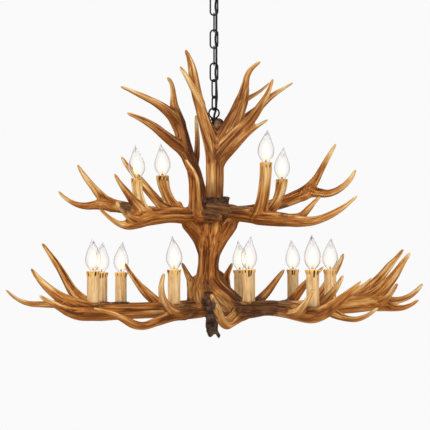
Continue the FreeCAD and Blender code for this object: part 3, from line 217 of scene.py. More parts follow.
LOWER_RIGHT_ANTLER = {
    "beam": [(224, 306.4, 13, 8), (240, 307, 12.6, 12), (258, 307.5, 12.6, 12), (277, 307.5, 13, 12),
             (297, 307, 13.4, 14), (316, 306.4, 14.4, 18), (333, 305.8, 15.6, 18), (347, 305, 17, 10),
             (359, 303.6, 17.4, 0), (371, 303.4, 15.6, -14), (382, 305.2, 12.4, -30), (393, 307.4, 8.4, -42),
             (403, 307.6, 6, -52), (411.5, 304.6, 4.2, -58), (418.4, 299.8, 1.8, -62)],
    "first_high_tine": [(353, 302.4, 14.6, 12), (361.6, 296.6, 13.6, 24), (369.4, 289.4, 12, 36),
                        (376.8, 281.4, 10.2, 46), (384, 273, 8.6, 54), (391, 264.4, 7, 60),
                        (397.5, 256.8, 5, 64), (402.8, 250, 2.4, 66)],
    "second_high_tine": [(363, 301.6, 14, -4), (373, 296.6, 14, -12), (381.8, 290, 12.8, -20),
                         (389.2, 282, 10.8, -28), (395.4, 274, 8.8, -34), (400.4, 266.4, 7, -38),
                         (405.2, 259.4, 5.2, -42), (409.7, 253.2, 2.4, -44)],
    "short_tine": [(378, 303.4, 9, -26), (384, 301, 8, -48), (389, 295.8, 6.4, -62), (393.4, 289.8, 5, -72),
                   (397.2, 284, 2.4, -78)],
    "outer_tine": [(373, 301, 12.6, -10), (383, 301, 11, -2), (392, 301, 8.6, 4), (400.5, 299.8, 6.8, 8),
                   (409.5, 296.2, 5.8, 12), (417.2, 290.2, 4.6, 14), (422.4, 284.2, 2, 14)],
    "under_tine": [(322, 307.6, 11.6, 4), (330, 311.4, 10.6, -22), (338.4, 315.4, 9, -46),
                   (347, 318.6, 7.4, -64), (356, 319.4, 6, -78), (365, 316.6, 5.2, -86),
                   (372, 312.4, 3.8, -92), (378, 308, 1.6, -96)],
    "inner_tine": [(284, 306, 11.6, 20), (291.5, 301, 10.6, 38), (297.5, 293.8, 9.2, 54),
                   (303.6, 285.8, 7.8, 68), (310.6, 278.8, 6.2, 80), (317.6, 272.4, 4.2, 88),
                   (323.1, 267.2, 2, 94)],
    "rear_tine": [(309, 304, 11.6, 26), (316.4, 298, 10.2, 48), (323.2, 289.6, 8.8, 70),
                  (329.6, 279.6, 7.6, 90), (335.8, 269.8, 6.2, 106), (340.6, 260.6, 4.4, 118),
                  (343.3, 254.1, 1.8, 124)],
}
LOWER_BACK_LEFT_ANTLER = {
    "beam": [(207, 304.6, 12.6, 14), (199, 305.6, 12.8, 38), (188, 306.4, 12.8, 66), (172, 307, 12.6, 94),
             (152, 307.6, 12.2, 112), (132, 308, 12, 120), (112, 307.8, 11.6, 120), (92, 306.4, 10.8, 114),
             (73, 305, 9.8, 106), (56, 304.4, 8.2, 98), (43, 304.4, 7, 92), (32, 304, 6, 88),
             (23.5, 302, 5, 84), (16, 298.4, 3.8, 82), (10.4, 294, 2.8, 80), (6.4, 290.1, 1.6, 80)],
    "stem_tine": [(196, 305.6, 11, 48), (191.8, 299, 9.4, 58), (190.8, 291, 8.4, 64), (191, 283, 8, 66),
                  (188, 275.6, 6.6, 64), (184.8, 268.8, 4.6, 60), (182.2, 263.4, 2.2, 58)],
    "stem_fork": [(191, 284, 7.2, 66), (196.5, 278, 6.2, 78), (202, 272.8, 4.4, 90), (206, 267.8, 2, 98)],
    "back_tine": [(160, 307.4, 11, 106), (152, 308.4, 9.6, 148), (141, 309, 8, 190), (128, 308.6, 5.8, 226),
                  (115, 306.4, 2.4, 252)],
}
LOWER_BACK_RIGHT_ANTLER = {
    "beam": [(221, 304.6, 12.6, 14), (229, 305.6, 12.8, 44), (241, 306.4, 12.8, 82),
             (258, 306.8, 12.6, 124), (276, 307, 12.6, 162), (293, 307, 12.4, 190), (310, 306.6, 10.8, 212),
             (328, 305.4, 8.8, 232), (345, 303.4, 6.6, 250), (360, 300.4, 2.8, 264)],
    "middle_tine": [(250, 306.8, 11, 106), (257, 302.4, 10.2, 112), (263, 296.6, 9.2, 116),
                    (268.6, 290.4, 8.2, 118), (273.8, 283.4, 6.8, 120), (279, 276.4, 5, 120),
                    (283.8, 270, 2.2, 120)],
    "stem_tine": [(232, 305.2, 11, 54), (230.6, 298, 9.6, 62), (227.8, 290, 8.6, 66), (225.6, 282.6, 8, 68),
                  (226.6, 275.4, 6.8, 66), (229.4, 269.2, 4.8, 62), (232, 263.6, 2.2, 58)],
    "stem_fork": [(226, 282, 7, 68), (222.4, 276, 6, 80), (217.6, 271.4, 4.4, 90), (213.6, 267, 2, 98)],
}
LOWER_BACK_ANTLER = {
    "beam": [(214, 304.6, 13, 20), (217, 305.4, 13.4, 62), (222, 306, 13, 108), (229, 306.4, 13, 154),
             (236, 306.6, 12.8, 196), (241, 306.4, 12, 230), (243, 306, 10, 270), (240, 305.4, 7.6, 312),
             (234, 304, 5.4, 346), (228, 301.8, 2.4, 370)],
    "left_fork": [(224, 306.2, 11.6, 126), (215, 306.6, 10.4, 168), (203, 306.8, 9.4, 210),
                  (190, 306.6, 8, 246), (178, 305.4, 5.8, 274), (168, 303, 2.6, 292)],
}

ANTLERS = {
    "crown_front_antler": CROWN_FRONT_ANTLER,
    "crown_left_antler": CROWN_LEFT_ANTLER,
    "upper_front_left_antler": UPPER_FRONT_LEFT_ANTLER,
    "upper_front_right_antler": UPPER_FRONT_RIGHT_ANTLER,
    "upper_left_antler": UPPER_LEFT_ANTLER,
    "upper_right_antler": UPPER_RIGHT_ANTLER,
    "upper_back_antler": UPPER_BACK_ANTLER,
    "lower_front_left_antler": LOWER_FRONT_LEFT_ANTLER,
    "lower_front_right_antler": LOWER_FRONT_RIGHT_ANTLER,
    "lower_left_antler": LOWER_LEFT_ANTLER,
    "lower_right_antler": LOWER_RIGHT_ANTLER,
    "lower_back_left_antler": LOWER_BACK_LEFT_ANTLER,
    "lower_back_right_antler": LOWER_BACK_RIGHT_ANTLER,
    "lower_back_antler": LOWER_BACK_ANTLER,
}
# Upper candles stand in the cups that end these branches; the last number is the bulb's turn.
UPPER_CANDLES = [
    ("upper_front_left_antler", "left_cup", 200.0),
    ("upper_front_left_antler", "right_cup", 165.0),
    ("upper_front_right_antler", "left_cup", 10.0),
    ("upper_front_right_antler", "right_cup", -40.0),
    ("upper_back_antler", "cup", 80.0),
]
# Lower candles: column, row of the rim, row of the foot, depth, bulb's turn
LOWER_CANDLES = [
    (93.2, 270.8, 304, -62, 250.0),
    (101.6, 272.0, 303, 118, 60.0),
    (121.0, 272.0, 303, 120, -30.0),
    (174.2, 269.2, 305, -95, 180.0),
    (239.6, 269.8, 301.4, 222, 140.0),
    (248.9, 269.2, 303, -76, 0.0),
    (292.7, 269.2, 302, 190, 200.0),
    (312.6, 269.4, 308, -206, 100.0),
    (330.1, 269.2, 299.6, 18, -60.0),
]
# Foot of the crown antler: column, row, depth. Lumps of bark: column, row, width, depth.
CROWN_FOOT = (215.0, 201.8, 0.0)
FOOT_SPREAD = [(239.0, 306.0, 17.0, -48.0), (246.0, 311.0, 12.0, -64.0)]
CORONET_LUMP = [(221.0, 201.0, 7.0, -16.0), (225.0, 200.0, 7.6, -14.0), (228.0, 198.8, 5.0, -12.0)]
HUB_LUMP = [(207.5, 292.0, 8.0, -24.0), (209.0, 299.0, 12.0, -30.0), (209.6, 308.0, 13.0, -28.0),
            (210.4, 317.0, 11.0, -16.0)]

# ---------------------------------------------------------------- sizes (mm)
SLEEVE_RADIUS = 13.6
SLEEVE_LIP = 15.8
SLEEVE_BORE = 11.0
RIM_SLOTS = 13
SOCKET_HEIGHT = 17.0
CUP_BORE = 9.0
TRAY_RADIUS = 21.0
TRAY_HEIGHT = 7.0
GLASS_WALL = 0.8
BULB_RADIUS = 17.5
BULB_BEND = 4.5
BULB_CAP_RADIUS = 6.0
BULB_CAP_HEIGHT = 12.5
THREAD_PITCH = 2.2
THREAD_DEPTH = 0.4
MOUNT_HEIGHT = 14.0
# shapes in a bulb: height above the sleeve's rim, radius, share of the tip's bend
BULB_SECTIONS = [(-1.0, 6.0, 0.0), (3.0, 8.6, 0.0), (11.0, 14.4, 0.0), (22.0, BULB_RADIUS, 0.0),
                 (34.0, 16.0, 0.05), (46.0, 11.4, 0.2), (56.0, 6.6, 0.5), (64.0, 2.9, 0.85),
                 (69.5, 0.9, 1.0)]
MOUNT_SECTIONS = [(1.0, 3.0, 0.0), (2.5, 2.6, 0.0), (4.0, 1.5, 0.0), (9.0, 1.3, 0.0), (12.5, 1.7, 0.0),
                  (MOUNT_HEIGHT, 0.9, 0.0)]
GLOW_SECTIONS = {
    "glow_outer": [(8, 2.4, 0), (12, 5.6, 0), (20, 8.0, 0), (30, 6.6, 0.04), (38, 3.6, 0.1),
                   (43, 0.8, 0.12)],
    "glow_core": [(11, 1.4, 0), (15, 3.2, 0), (22, 4.6, 0), (29, 3.6, 0.03), (34, 1.7, 0.05),
                  (37, 0.5, 0.06)],
}
# chain and cord
LINK_WIRE = 3.6
LINK_LENGTH = 44.5
LINK_GAP = 0.3
LINK_COUNT = 6
END_LINK_LENGTH = 34.0
LOOP_RADIUS = 11.2
LOOP_WIRE = 3.8
HUB_LOOP_Z = -345.7
CORD_RADIUS = 2.5
CORD_SIDE = 5.5
CORD_WEAVE = 5.8
CORD_INNER = 2.5
# how far above and below its joint add_cord works out a point for each length of cord
CORD_BEND_REACH = 9.0
# points of the cord's line that lie in the canopy, where it runs up as well as down
CANOPY_POINTS = 20
# the length, counted from 0, whose points above and below its joint are swapped
RISING_LENGTH = 4
# antler surfaces: grid size, width of the distance band, roundings where branches meet and where
# an antler meets its guests, how far guests are set back, and how branches are drawn out to tips
VOXEL = 1.6
BAND = 14.0
MELT = 9.0
FILLET = 14.0
GUEST_INSET = 1.4
CURVE_STEP = 4.0
TIP_PLACE = 0.6
TIP_FULLNESS = 2.0
ROOT_REACH = 170.0
# how far an antler's tone lies below the palest, where the large offsets of the antlers at the back are
# painted shade; how much of its root is dark bark
TONE_AND_SHADE = {"crown_left_antler": 0.20, "crown_front_antler": 0.06, "upper_left_antler": -0.04,
        "upper_right_antler": 0.02, "upper_front_right_antler": 0.06, "upper_front_left_antler": 0.08,
        "lower_front_left_antler": 0.10, "lower_left_antler": 0.07, "lower_front_right_antler": 0.04,
        "lower_right_antler": 0.04, "lower_back_left_antler": 0.18, "lower_back_right_antler": 0.30,
        "lower_back_antler": 0.38, "centre_column": 0.15}
BARKS = {"lower_front_right_antler": 1.0, "upper_front_right_antler": 0.5, "lower_left_antler": 0.4,
         "lower_front_left_antler": 0.6}
# dark hollows, whose darkness is painted shade, and bark seen on the near side: column, row, radius,
# strength
BARK_AND_SHADE_PATCHES = [(208.5, 215.5, 9.0, 1.0), (214.0, 209.5, 15.0, 0.95), (224.0, 209.0, 14.0, 0.85),
                (236.0, 209.0, 10.0, 0.6), (285.5, 210.0, 8.0, 0.9), (126.0, 206.0, 9.5, 0.9),
                (208.5, 305.0, 11.0, 1.0), (236.0, 299.5, 9.0, 0.9), (245.0, 307.0, 16.0, 1.0),
                (257.0, 306.5, 16.0, 1.0), (270.0, 306.0, 15.0, 1.0), (283.0, 305.5, 12.0, 0.8),
                (188.0, 309.0, 11.0, 0.7), (228.0, 303.0, 17.0, 0.45), (209.0, 285.0, 11.0, 0.5),
                (160.0, 309.5, 9.0, 0.4), (214.0, 190.0, 13.0, 0.35), (192.0, 205.0, 9.0, 0.35),
                (314.0, 310.6, 2.2, 1.0)]


# ---------------------------------------------------------------- small maths
def spot(column, row, depth):
    """Where a point of the picture is (mm), given how far behind the hanging axis it was read."""
    depth += BALANCE_SHIFT
    rise = VIEW_CENTRE - row
    forward = FOCAL * math.cos(TILT) - rise * math.sin(TILT)
    reach = (VIEW_DISTANCE + depth) / forward
    height = (FOCAL * math.sin(TILT) + rise * math.cos(TILT)) * reach
    return np.array([(column - AXIS_COLUMN) * reach, depth, VIEW_HEIGHT + height])


def seen(points):
    """Columns and rows at which points (mm) are seen in the picture."""
    scale = FOCAL / (VIEW_DISTANCE + points[:, 1])
    return AXIS_COLUMN + points[:, 0] * scale, HORIZON_ROW - (points[:, 2] - VIEW_HEIGHT) * scale


def bark_and_shade_patches(points, normals, seed):
    """How far points of the near side lie in one of the dark patches, of bark and of painted shade."""
    column, row = seen(points)
    ragged = 2.2 * noise(points / 5.0, seed) + 1.6 * noise(points / 12.0, seed + 1)
    near = smooth_step(0.35, -0.1, normals[:, 1])
    dark = np.zeros(len(points))
    for at_column, at_row, radius, strength in BARK_AND_SHADE_PATCHES:
        gap = np.hypot(column - at_column, row - at_row) + ragged * min(1.0, radius / 5.0)
        dark = np.maximum(dark, strength * smooth_step(radius, 0.45 * radius, gap) * near)
    return dark


def lattice(cells, seed):
    """A fixed pseudo-random number between -1 and 1 for each integer cell."""
    n = (cells[:, 0] * 374761393 + cells[:, 1] * 668265263 + cells[:, 2] * 2147483647 + seed * 144665)
    n = (n ^ (n >> 13)) * 1274126177
    n = n ^ (n >> 16)
    return (n & 0xFFFF) / 32767.5 - 1.0


def noise(points, seed):
    """Smooth value noise of unit cell size."""
    base = np.floor(points).astype(np.int64)
    part = points - base
    part = part * part * (3.0 - 2.0 * part)
    total = np.zeros(len(points))
    for dx in (0, 1):
        for dy in (0, 1):
            for dz in (0, 1):
                corner = np.array([dx, dy, dz])
                near = np.abs(1 - corner - part)
                total += near[:, 0] * near[:, 1] * near[:, 2] * lattice(base + corner, seed)
    return total


def smooth_step(low, high, value):
    """0 where a value is at low, 1 where it is at high, and smooth between and level beyond."""
    t = np.clip((value - low) / (high - low), 0.0, 1.0)
    return t * t * (3.0 - 2.0 * t)


def smooth_curve(rows, gap_count):
    """Rows with more rows in between, on a smooth curve; gap_count(a, b) says how many a gap gets."""
    padded = np.vstack([2 * rows[0] - rows[1], rows, 2 * rows[-1] - rows[-2]])
    out = []
    for p0, p1, p2, p3 in zip(padded, padded[1:], padded[2:], padded[3:]):
        count = gap_count(p1, p2)
        for t in np.arange(count) / count:
            out.append(0.5 * (2 * p1 + (p2 - p0) * t + (2 * p0 - 5 * p1 + 4 * p2 - p3) * t * t
                              + (3 * p1 - p0 - 3 * p2 + p3) * t ** 3))
    out.append(rows[-1])
    return np.array(out)


def full_turn(count):
    """Evenly spaced angles all the way round."""
    return np.arange(count) * 2.0 * math.pi / count


def band_faces(rings, sides, closed=False):
    """Four-sided faces between rings of points, and back to the first ring if the rings close a loop."""
    faces = []
    for i in range(rings if closed else rings - 1):
        here, above = i * sides, (i + 1) % rings * sides
        for j in range(sides):
            k = (j + 1) % sides
            faces.append((here + j, here + k, above + k, above + j))
    return faces


def pole_faces(ring, sides, pole):
    """Three-sided faces from the points of a ring to a pole."""
    return [(ring * sides + j, ring * sides + (j + 1) % sides, pole) for j in range(sides)]


# ---------------------------------------------------------------- limbs: antler branches as fields
class Limb:
    """One branch: a smooth centre line with radii, arc length and a frame carried along it."""

    def __init__(self, nodes, is_cup, seed):
        nodes = np.array(nodes, dtype=float)
        if not is_cup:
            last = nodes[-1] - nodes[-2]
            full = nodes[-2] + last * TIP_PLACE
            full[3] = nodes[-2, 3] + last[3] * TIP_PLACE ** TIP_FULLNESS
            nodes[-1, :3] -= 0.3 * nodes[-1, 3] * last[:3] / np.linalg.norm(last[:3])
            nodes = np.insert(nodes, -1, full, axis=0)
        line = smooth_curve(nodes, lambda a, b: max(2, int(np.linalg.norm(b[:3] - a[:3]) / CURVE_STEP)))
        self.centre = line[:, :3]
        self.radius = np.maximum(line[:, 3], 0.6)
        self.is_cup = is_cup
        self.seed = seed
        steps = np.diff(self.centre, axis=0)
        self.along = np.concatenate([[0.0], np.cumsum(np.linalg.norm(steps, axis=1))])
        tangent = np.gradient(self.centre, axis=0)
        self.tangent = tangent / np.linalg.norm(tangent, axis=1)[:, None]
        side = np.array([0.31, 0.92, 0.24])
        self.side = np.zeros_like(self.centre)
        for i, direction in enumerate(self.tangent):
            side = side - direction * side.dot(direction)
            side /= np.linalg.norm(side)
            self.side[i] = side
        self.other = np.cross(self.tangent, self.side)

    def field(self, origin, shape, size):
        """Distance to the branch on a grid, kept only near it."""
        out = np.full(shape, BAND, dtype=np.float32)
        for i in range(len(self.centre) - 1):
            a, b = self.centre[i], self.centre[i + 1]
            reach = max(self.radius[i], self.radius[i + 1]) + BAND
            low = np.maximum(np.floor((np.minimum(a, b) - reach - origin) / size).astype(int), 0)
            high = np.minimum(np.ceil((np.maximum(a, b) + reach - origin) / size).astype(int) + 1, shape)
            axes = [origin[k] + size * np.arange(low[k], high[k]) for k in range(3)]
            x, y, z = np.meshgrid(*axes, indexing="ij", sparse=True)
            step = b - a
            t = ((x - a[0]) * step[0] + (y - a[1]) * step[1] + (z - a[2]) * step[2]) / step.dot(step)
            t = np.clip(t, 0.0, 1.0)
            gap = np.sqrt((x - a[0] - t * step[0]) ** 2 + (y - a[1] - t * step[1]) ** 2
                          + (z - a[2] - t * step[2]) ** 2)
            gap -= self.radius[i] + t * (self.radius[i + 1] - self.radius[i])
            view = out[low[0]:high[0], low[1]:high[1], low[2]:high[2]]
            np.minimum(view, gap, out=view)
        if self.is_cup:
            top = self.centre[-1][2]
            height = origin[2] + size * np.arange(shape[2]) - top
            out = np.maximum(out, np.clip(height, -BAND, BAND)[None, None, :].astype(np.float32))
        return out

    def read(self, points):
        """For points near it: distance, place along, sideways coordinates and local radius."""
        best = np.full(len(points), 1e9)
        index = np.zeros(len(points), dtype=int)
        for i, centre in enumerate(self.centre):
            gap = np.linalg.norm(points - centre, axis=1) - self.radius[i]
            closer = gap < best
            best[closer] = gap[closer]
            index[closer] = i
        away = points - self.centre[index]
        along = self.along[index] + np.einsum("ij,ij->i", away, self.tangent[index])
        u = np.einsum("ij,ij->i", away, self.side[index])
        v = np.einsum("ij,ij->i", away, self.other[index])
        return best, along, u, v, self.radius[index]


def melt(a, b, amount):
    """Smooth minimum of two fields, left as it is far from both."""
    nearest = np.minimum(a, b)
    overlap = np.maximum(amount - np.abs(a - b), 0.0) / amount
    return np.where(nearest < amount, nearest - overlap * overlap * amount * 0.25, nearest)


def bore_cup(total, origin, size, rim):
    """The lampholder's seat cut down from the rim of a cup."""
    x, y, z = [origin[k] + size * np.arange(total.shape[k]) - rim[k] for k in range(3)]
    across = np.hypot(x[:, None], y[None, :]) - CUP_BORE
    gap = np.maximum(across[:, :, None], -(z + SOCKET_HEIGHT + 1.5)[None, None, :])
    return np.maximum(total, np.clip(-gap, -BAND, BAND).astype(np.float32))


def skin(limbs, size, guests=()):
    """Points (mm) and faces of the blended surface of some limbs, filleted to the guests they meet."""
    low = np.min([(limb.centre - limb.radius[:, None]).min(axis=0) for limb in limbs], axis=0) - BAND * 0.6
    high = np.max([(limb.centre + limb.radius[:, None]).max(axis=0) for limb in limbs], axis=0) + BAND * 0.6
    shape = np.ceil((high - low) / size).astype(int) + 1
    total = None
    for limb in limbs:
        field = limb.field(low, shape, size)
        total = field if total is None else melt(total, field, MELT)
    for guest in guests:
        total = melt(total, guest.field(low, shape, size) + GUEST_INSET, FILLET)
    for limb in limbs:
        if limb.is_cup:
            total = bore_cup(total, low, size, limb.centre[-1])
    grid = openvdb.FloatGrid(BAND)
    grid.copyFromArray(np.ascontiguousarray(total, dtype=np.float32))
    points, triangles, quads = grid.convertToPolygons(isovalue=0.0, adaptivity=0.0)
    return points * size + low, triangles, quads


def groove(along, u, v, radius, seed):
    """Long ridges and hollows of an antler's skin, -1 to 1, finer on thin branches."""
    cell = 0.36 * radius + 1.7
    wide = noise(np.column_stack([u / cell, v / cell, along / 80.0]) + seed * 7.3, seed)
    fine = noise(np.column_stack([u / (0.5 * cell), v / (0.5 * cell), along / 42.0]) + seed * 3.1, seed + 5)
    return np.clip(1.15 * wide + 0.45 * fine, -1.0, 1.0)


def cup_rims(limbs, points):
    """How far points belong to a cup's rim, and to the pits in a band below it, which are dented and painted
    dark as shade.
    """
    rim, pit_and_shade = np.zeros(len(points)), np.zeros(len(points))
    for limb in limbs:
        if limb.is_cup:
            top = limb.centre[-1]
            away = points - top
            across = np.hypot(away[:, 0], away[:, 1])
            near = across < limb.radius[-1] + 4.0
            rim = np.maximum(rim, smooth_step(13.0, 3.0, -away[:, 2]) * near)
            ring = away[:, :2] / np.maximum(across, 1.0)[:, None]
            holes = noise(np.column_stack([ring * 4.3, away[:, 2] / 11.0]), limb.seed + 60)
            band = smooth_step(1.0, 3.5, -away[:, 2]) * smooth_step(14.0, 9.0, -away[:, 2])
            pit_and_shade = np.maximum(pit_and_shade, smooth_step(0.12, 0.5, holes) * band * near * (across > CUP_BORE + 1.5))
    return rim, pit_and_shade


def antler_mesh(name, branches, seed, bark=0.0, guests=()):
    """Mesh of one antler with its grooves and the attributes that its resin reads."""
    limbs = []
    for i, (key, line) in enumerate(branches.items()):
        limbs.append(Limb(line, "cup" in key, seed + i * 11))
    points, triangles, quads = skin(limbs, VOXEL, [Limb(line, False, 0) for line in guests])
    reads = [limb.read(points) for limb in limbs]
    gaps = np.array([read[0] for read in reads])
    pick = np.arange(len(points))
    child, share = np.zeros(len(points), dtype=int), np.zeros(len(points))
    if len(limbs) > 1:
        child = np.argmin(gaps[1:], axis=0) + 1
        share = smooth_step(-MELT, MELT, gaps[0] - gaps[child, pick])
    stacked = [np.array([read[k] for read in reads]) for k in range(1, 5)]
    first = [array[0] for array in stacked]
    second = [array[child, pick] for array in stacked]
    ridge = (1 - share) * groove(*first, seed)
    for i in range(1, len(limbs)):
        mine = child == i
        if mine.any():
            ridge[mine] += share[mine] * groove(*[array[mine] for array in second], seed + i * 11)
    thick = (1 - share) * first[3] + share * second[3]
    normals = surface_normals(points, triangles, quads)
    relief = (0.85 * ridge + 0.6 * noise(points / 26.0, seed + 90) - 0.5) * smooth_step(0.5, 9.0, thick)
    if bark:
        relief += bark * (noise(points / 7.0, seed + 91) + 0.6 * noise(points / 3.2, seed + 92) - 0.3)
    rim, pit_and_shade = cup_rims(limbs, points)
    relief -= 1.3 * pit_and_shade
    points = points + normals * relief[:, None]
    mesh = make_mesh(name, points, [*map(tuple, triangles.tolist()), *map(tuple, quads.tolist())])
    ends = np.array([limb.along[-1] for limb in limbs])
    cups = np.array([limb.is_cup for limb in limbs])
    mine = np.where(share > 0.5, child, 0)
    left = ends[mine] - np.where(share > 0.5, second[0], first[0])
    tip = np.where(cups[mine], 1.6 * smooth_step(110.0, 35.0, left),
                   smooth_step(95.0, 6.0, left) * smooth_step(15.0, 5.0, thick))
    put_vectors(mesh, "flow_a", np.column_stack([first[1], first[2], first[0]]) / 10.0 + seed * 3.7)
    put_vectors(mesh, "flow_b", np.column_stack([second[1], second[2], second[0]]) / 10.0
                + (seed + child[:, None] * 5) * 2.3)
    put_values(mesh, "share", share)
    put_values(mesh, "tip", tip)
    put_values(mesh, "rim", rim)
    put_values(mesh, "pit_and_shade", pit_and_shade)
    put_values(mesh, "ridge", 0.5 + 0.5 * ridge)
    put_values(mesh, "slender", smooth_step(19.0, 5.0, thick))
    root = smooth_step(ROOT_REACH, 25.0, first[0]) * (1.0 - share)
    put_values(mesh, "root", root * (0.0 if name in ("crown_front_antler", "centre_column") else 1.0))
    patches = 0.8 * noise(points / 24.0, seed + 70) + 0.4 * noise(points / 8.0, seed + 71)
    shell = BARKS.get(name, 0.0) * smooth_step(150.0, 60.0, first[0]) * (1.0 - 0.8 * share)
    covered = smooth_step(0.35, 0.75, patches + 1.4 * shell - 0.35) * (shell > 0)
    # the bark attribute holds bark near the roots and, through the dark patches, painted shade in hollows on
    # the near side
    put_values(mesh, "bark", np.maximum(0.85 * covered, bark_and_shade_patches(points, normals, seed + 80)))
    # per-antler darkening, which on the antlers at the back is painted shade
    put_values(mesh, "tone_and_shade", np.full(len(points), TONE_AND_SHADE.get(name, 0.0)))
    # painted shading: how far a surface faces down, for an orange-brown tint on undersides
    put_values(mesh, "underside_shading", smooth_step(0.1, 0.95, -normals[:, 2]))
    return mesh


def surface_normals(points, triangles, quads):
    """Outward unit normals at the points of a closed surface."""
    normals = np.zeros_like(points)
    volume = 0.0
    for faces in (triangles, quads):
        if len(faces):
            a, b, c = points[faces[:, 0]], points[faces[:, 1]], points[faces[:, 2]]
            cross = np.cross(b - a, c - a)
            volume += np.einsum("ij,ij->", a, cross)
            for k in range(faces.shape[1]):
                np.add.at(normals, faces[:, k], cross)
    normals /= np.maximum(np.linalg.norm(normals, axis=1), 1e-9)[:, None]
    return normals if volume > 0 else -normals


def make_mesh(name, points, faces):
    """A closed, smooth-shaded mesh in metres from points in mm, its faces turned outwards."""
    mesh = bpy.data.meshes.new(name)
    mesh.from_pydata((points * MM).tolist(), [], faces)
    work = bmesh.new()
    work.from_mesh(mesh)
    bmesh.ops.recalc_face_normals(work, faces=work.faces)
    work.to_mesh(mesh)
    work.free()
    mesh.polygons.foreach_set("use_smooth", [True] * len(mesh.polygons))
    mesh.update()
    return mesh


def put_vectors(mesh, name, values):
    """A vector at each point of a mesh, for its material to read."""
    layer = mesh.attributes.new(name, "FLOAT_VECTOR", "POINT")
    layer.data.foreach_set("vector", np.ascontiguousarray(values, dtype=np.float32).ravel())


def put_values(mesh, name, values):
    """A number at each point of a mesh, for its material to read."""
    layer = mesh.attributes.new(name, "FLOAT", "POINT")
    layer.data.foreach_set("value", np.ascontiguousarray(values, dtype=np.float32))


def add_piece(name, mesh, material, body, slot, *nodes):
    """A piece of the scene that rides on a body and stands in for CAD nodes."""
    piece = bpy.data.objects.new(name, mesh)
    bpy.context.scene.collection.objects.link(piece)
    if not mesh.materials:
        mesh.materials.append(material)
    if body:
        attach(piece, body)
    if nodes:
        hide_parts(*nodes)
    return piece


# ---------------------------------------------------------------- materials
class Value:
    """A shader socket or a number, with the arithmetic written as arithmetic."""

    def __init__(self, tree, out):
        self.tree = tree
        self.out = out

    def node(self, kind, settings=(), inputs=(), output=0):
        made = self.tree.nodes.new(kind)
        for key, value in dict(settings).items():
            setattr(made, key, value)
        for key, value in dict(inputs).items():
            if isinstance(value, Value):
                self.tree.links.new(value.out, made.inputs[key])
            else:
                made.inputs[key].default_value = value
        return Value(self.tree, made.outputs[output])

    def maths(self, operation, other):
        return self.node("ShaderNodeMath", {"operation": operation}, {0: self, 1: other})

    def __add__(self, other):
        return self.maths("ADD", other)

    def __sub__(self, other):
        return self.maths("SUBTRACT", other)

    def __mul__(self, other):
        return self.maths("MULTIPLY", other)

    def stretch(self, x, y, z):
        return self.node("ShaderNodeVectorMath", {"operation": "MULTIPLY"}, {0: self, 1: (x, y, z)})

    def noise(self, scale, detail=2.0, roughness=0.5, distortion=0.0):
        return self.node("ShaderNodeTexNoise", {}, {"Vector": self, "Scale": scale, "Detail": detail,
                                                    "Roughness": roughness, "Distortion": distortion})

    def ramp(self, low, high, to_low=0.0, to_high=1.0):
        return self.node("ShaderNodeMapRange", {"interpolation_type": "SMOOTHSTEP"},
                         {"Value": self, "From Min": low, "From Max": high,
                          "To Min": to_low, "To Max": to_high})

    def blend(self, low, high):
        """low where this value is 0, high where it is 1; both are colours."""
        made = self.tree.nodes.new("ShaderNodeMix")
        made.data_type = "RGBA"
        self.tree.links.new(self.out, made.inputs[0])
        for key, colour in ((6, low), (7, high)):
            if isinstance(colour, Value):
                self.tree.links.new(colour.out, made.inputs[key])
            else:
                made.inputs[key].default_value = (*colour, 1.0)
        return Value(self.tree, made.outputs[2])

    def between(self, low, high):
        """low where this value is 0, high where it is 1; both are values."""
        return low + (high - low) * self


class Finish:
    """A Principled material whose constants sit on the shader's own sockets."""

    def __init__(self, name, **constants):
        self.material = bpy.data.materials.new(name)
        self.material.use_nodes = True
        self.tree = self.material.node_tree
        self.shader = self.tree.nodes["Principled BSDF"]
        for key, value in constants.items():
            self.shader.inputs[key.replace("_", " ")].default_value = value
        self.start = Value(self.tree, None)

    def attribute(self, name, output=2):
        """What the mesh holds at each point: output 2 gives its numbers, output 1 its vectors."""
        return self.start.node("ShaderNodeAttribute", {"attribute_name": name}, {}, output)

    def place(self):
        """Object coordinates."""
        return self.start.node("ShaderNodeTexCoord", {}, {}, 3)

    def feed(self, key, value):
        """Lead a value to one of the shader's sockets."""
        self.tree.links.new(value.out, self.shader.inputs[key])

    def bump(self, height, strength, distance):
        made = self.start.node("ShaderNodeBump", {}, {"Height": height, "Strength": strength,
                                                      "Distance": distance})
        self.feed("Normal", made)


CREAM = (0.81, 0.60, 0.30)
PALE = (0.64, 0.338, 0.102)
HONEY = (0.41, 0.144, 0.028)
UMBER = (0.110, 0.031, 0.007)
CROWN_HONEY = (0.405, 0.160, 0.042)
CROWN_UMBER = (0.125, 0.042, 0.014)
SHELL = (0.170, 0.068, 0.026)
# darkest bark colour, also used for painted shade in the dark patches and pits
BARK_BLACK_AND_SHADE = (0.030, 0.013, 0.006)
GOLD = (0.80, 0.47, 0.13)
# tint of the painted shading on undersides
UNDERSIDE_SHADING_TINT = (0.37, 0.112, 0.016)
BARK_DARK = (0.022, 0.010, 0.005)
BARK_LIT = (0.150, 0.068, 0.028)


def streaks(finish, across, along, detail):
    """Streaks that run along the branches, carried across their joins."""
    pair = [finish.attribute(name, 1).stretch(across, across, along).noise(1.0, detail, 0.55, 0.3)
            for name in ("flow_a", "flow_b")]
    return finish.attribute("share").between(*pair)


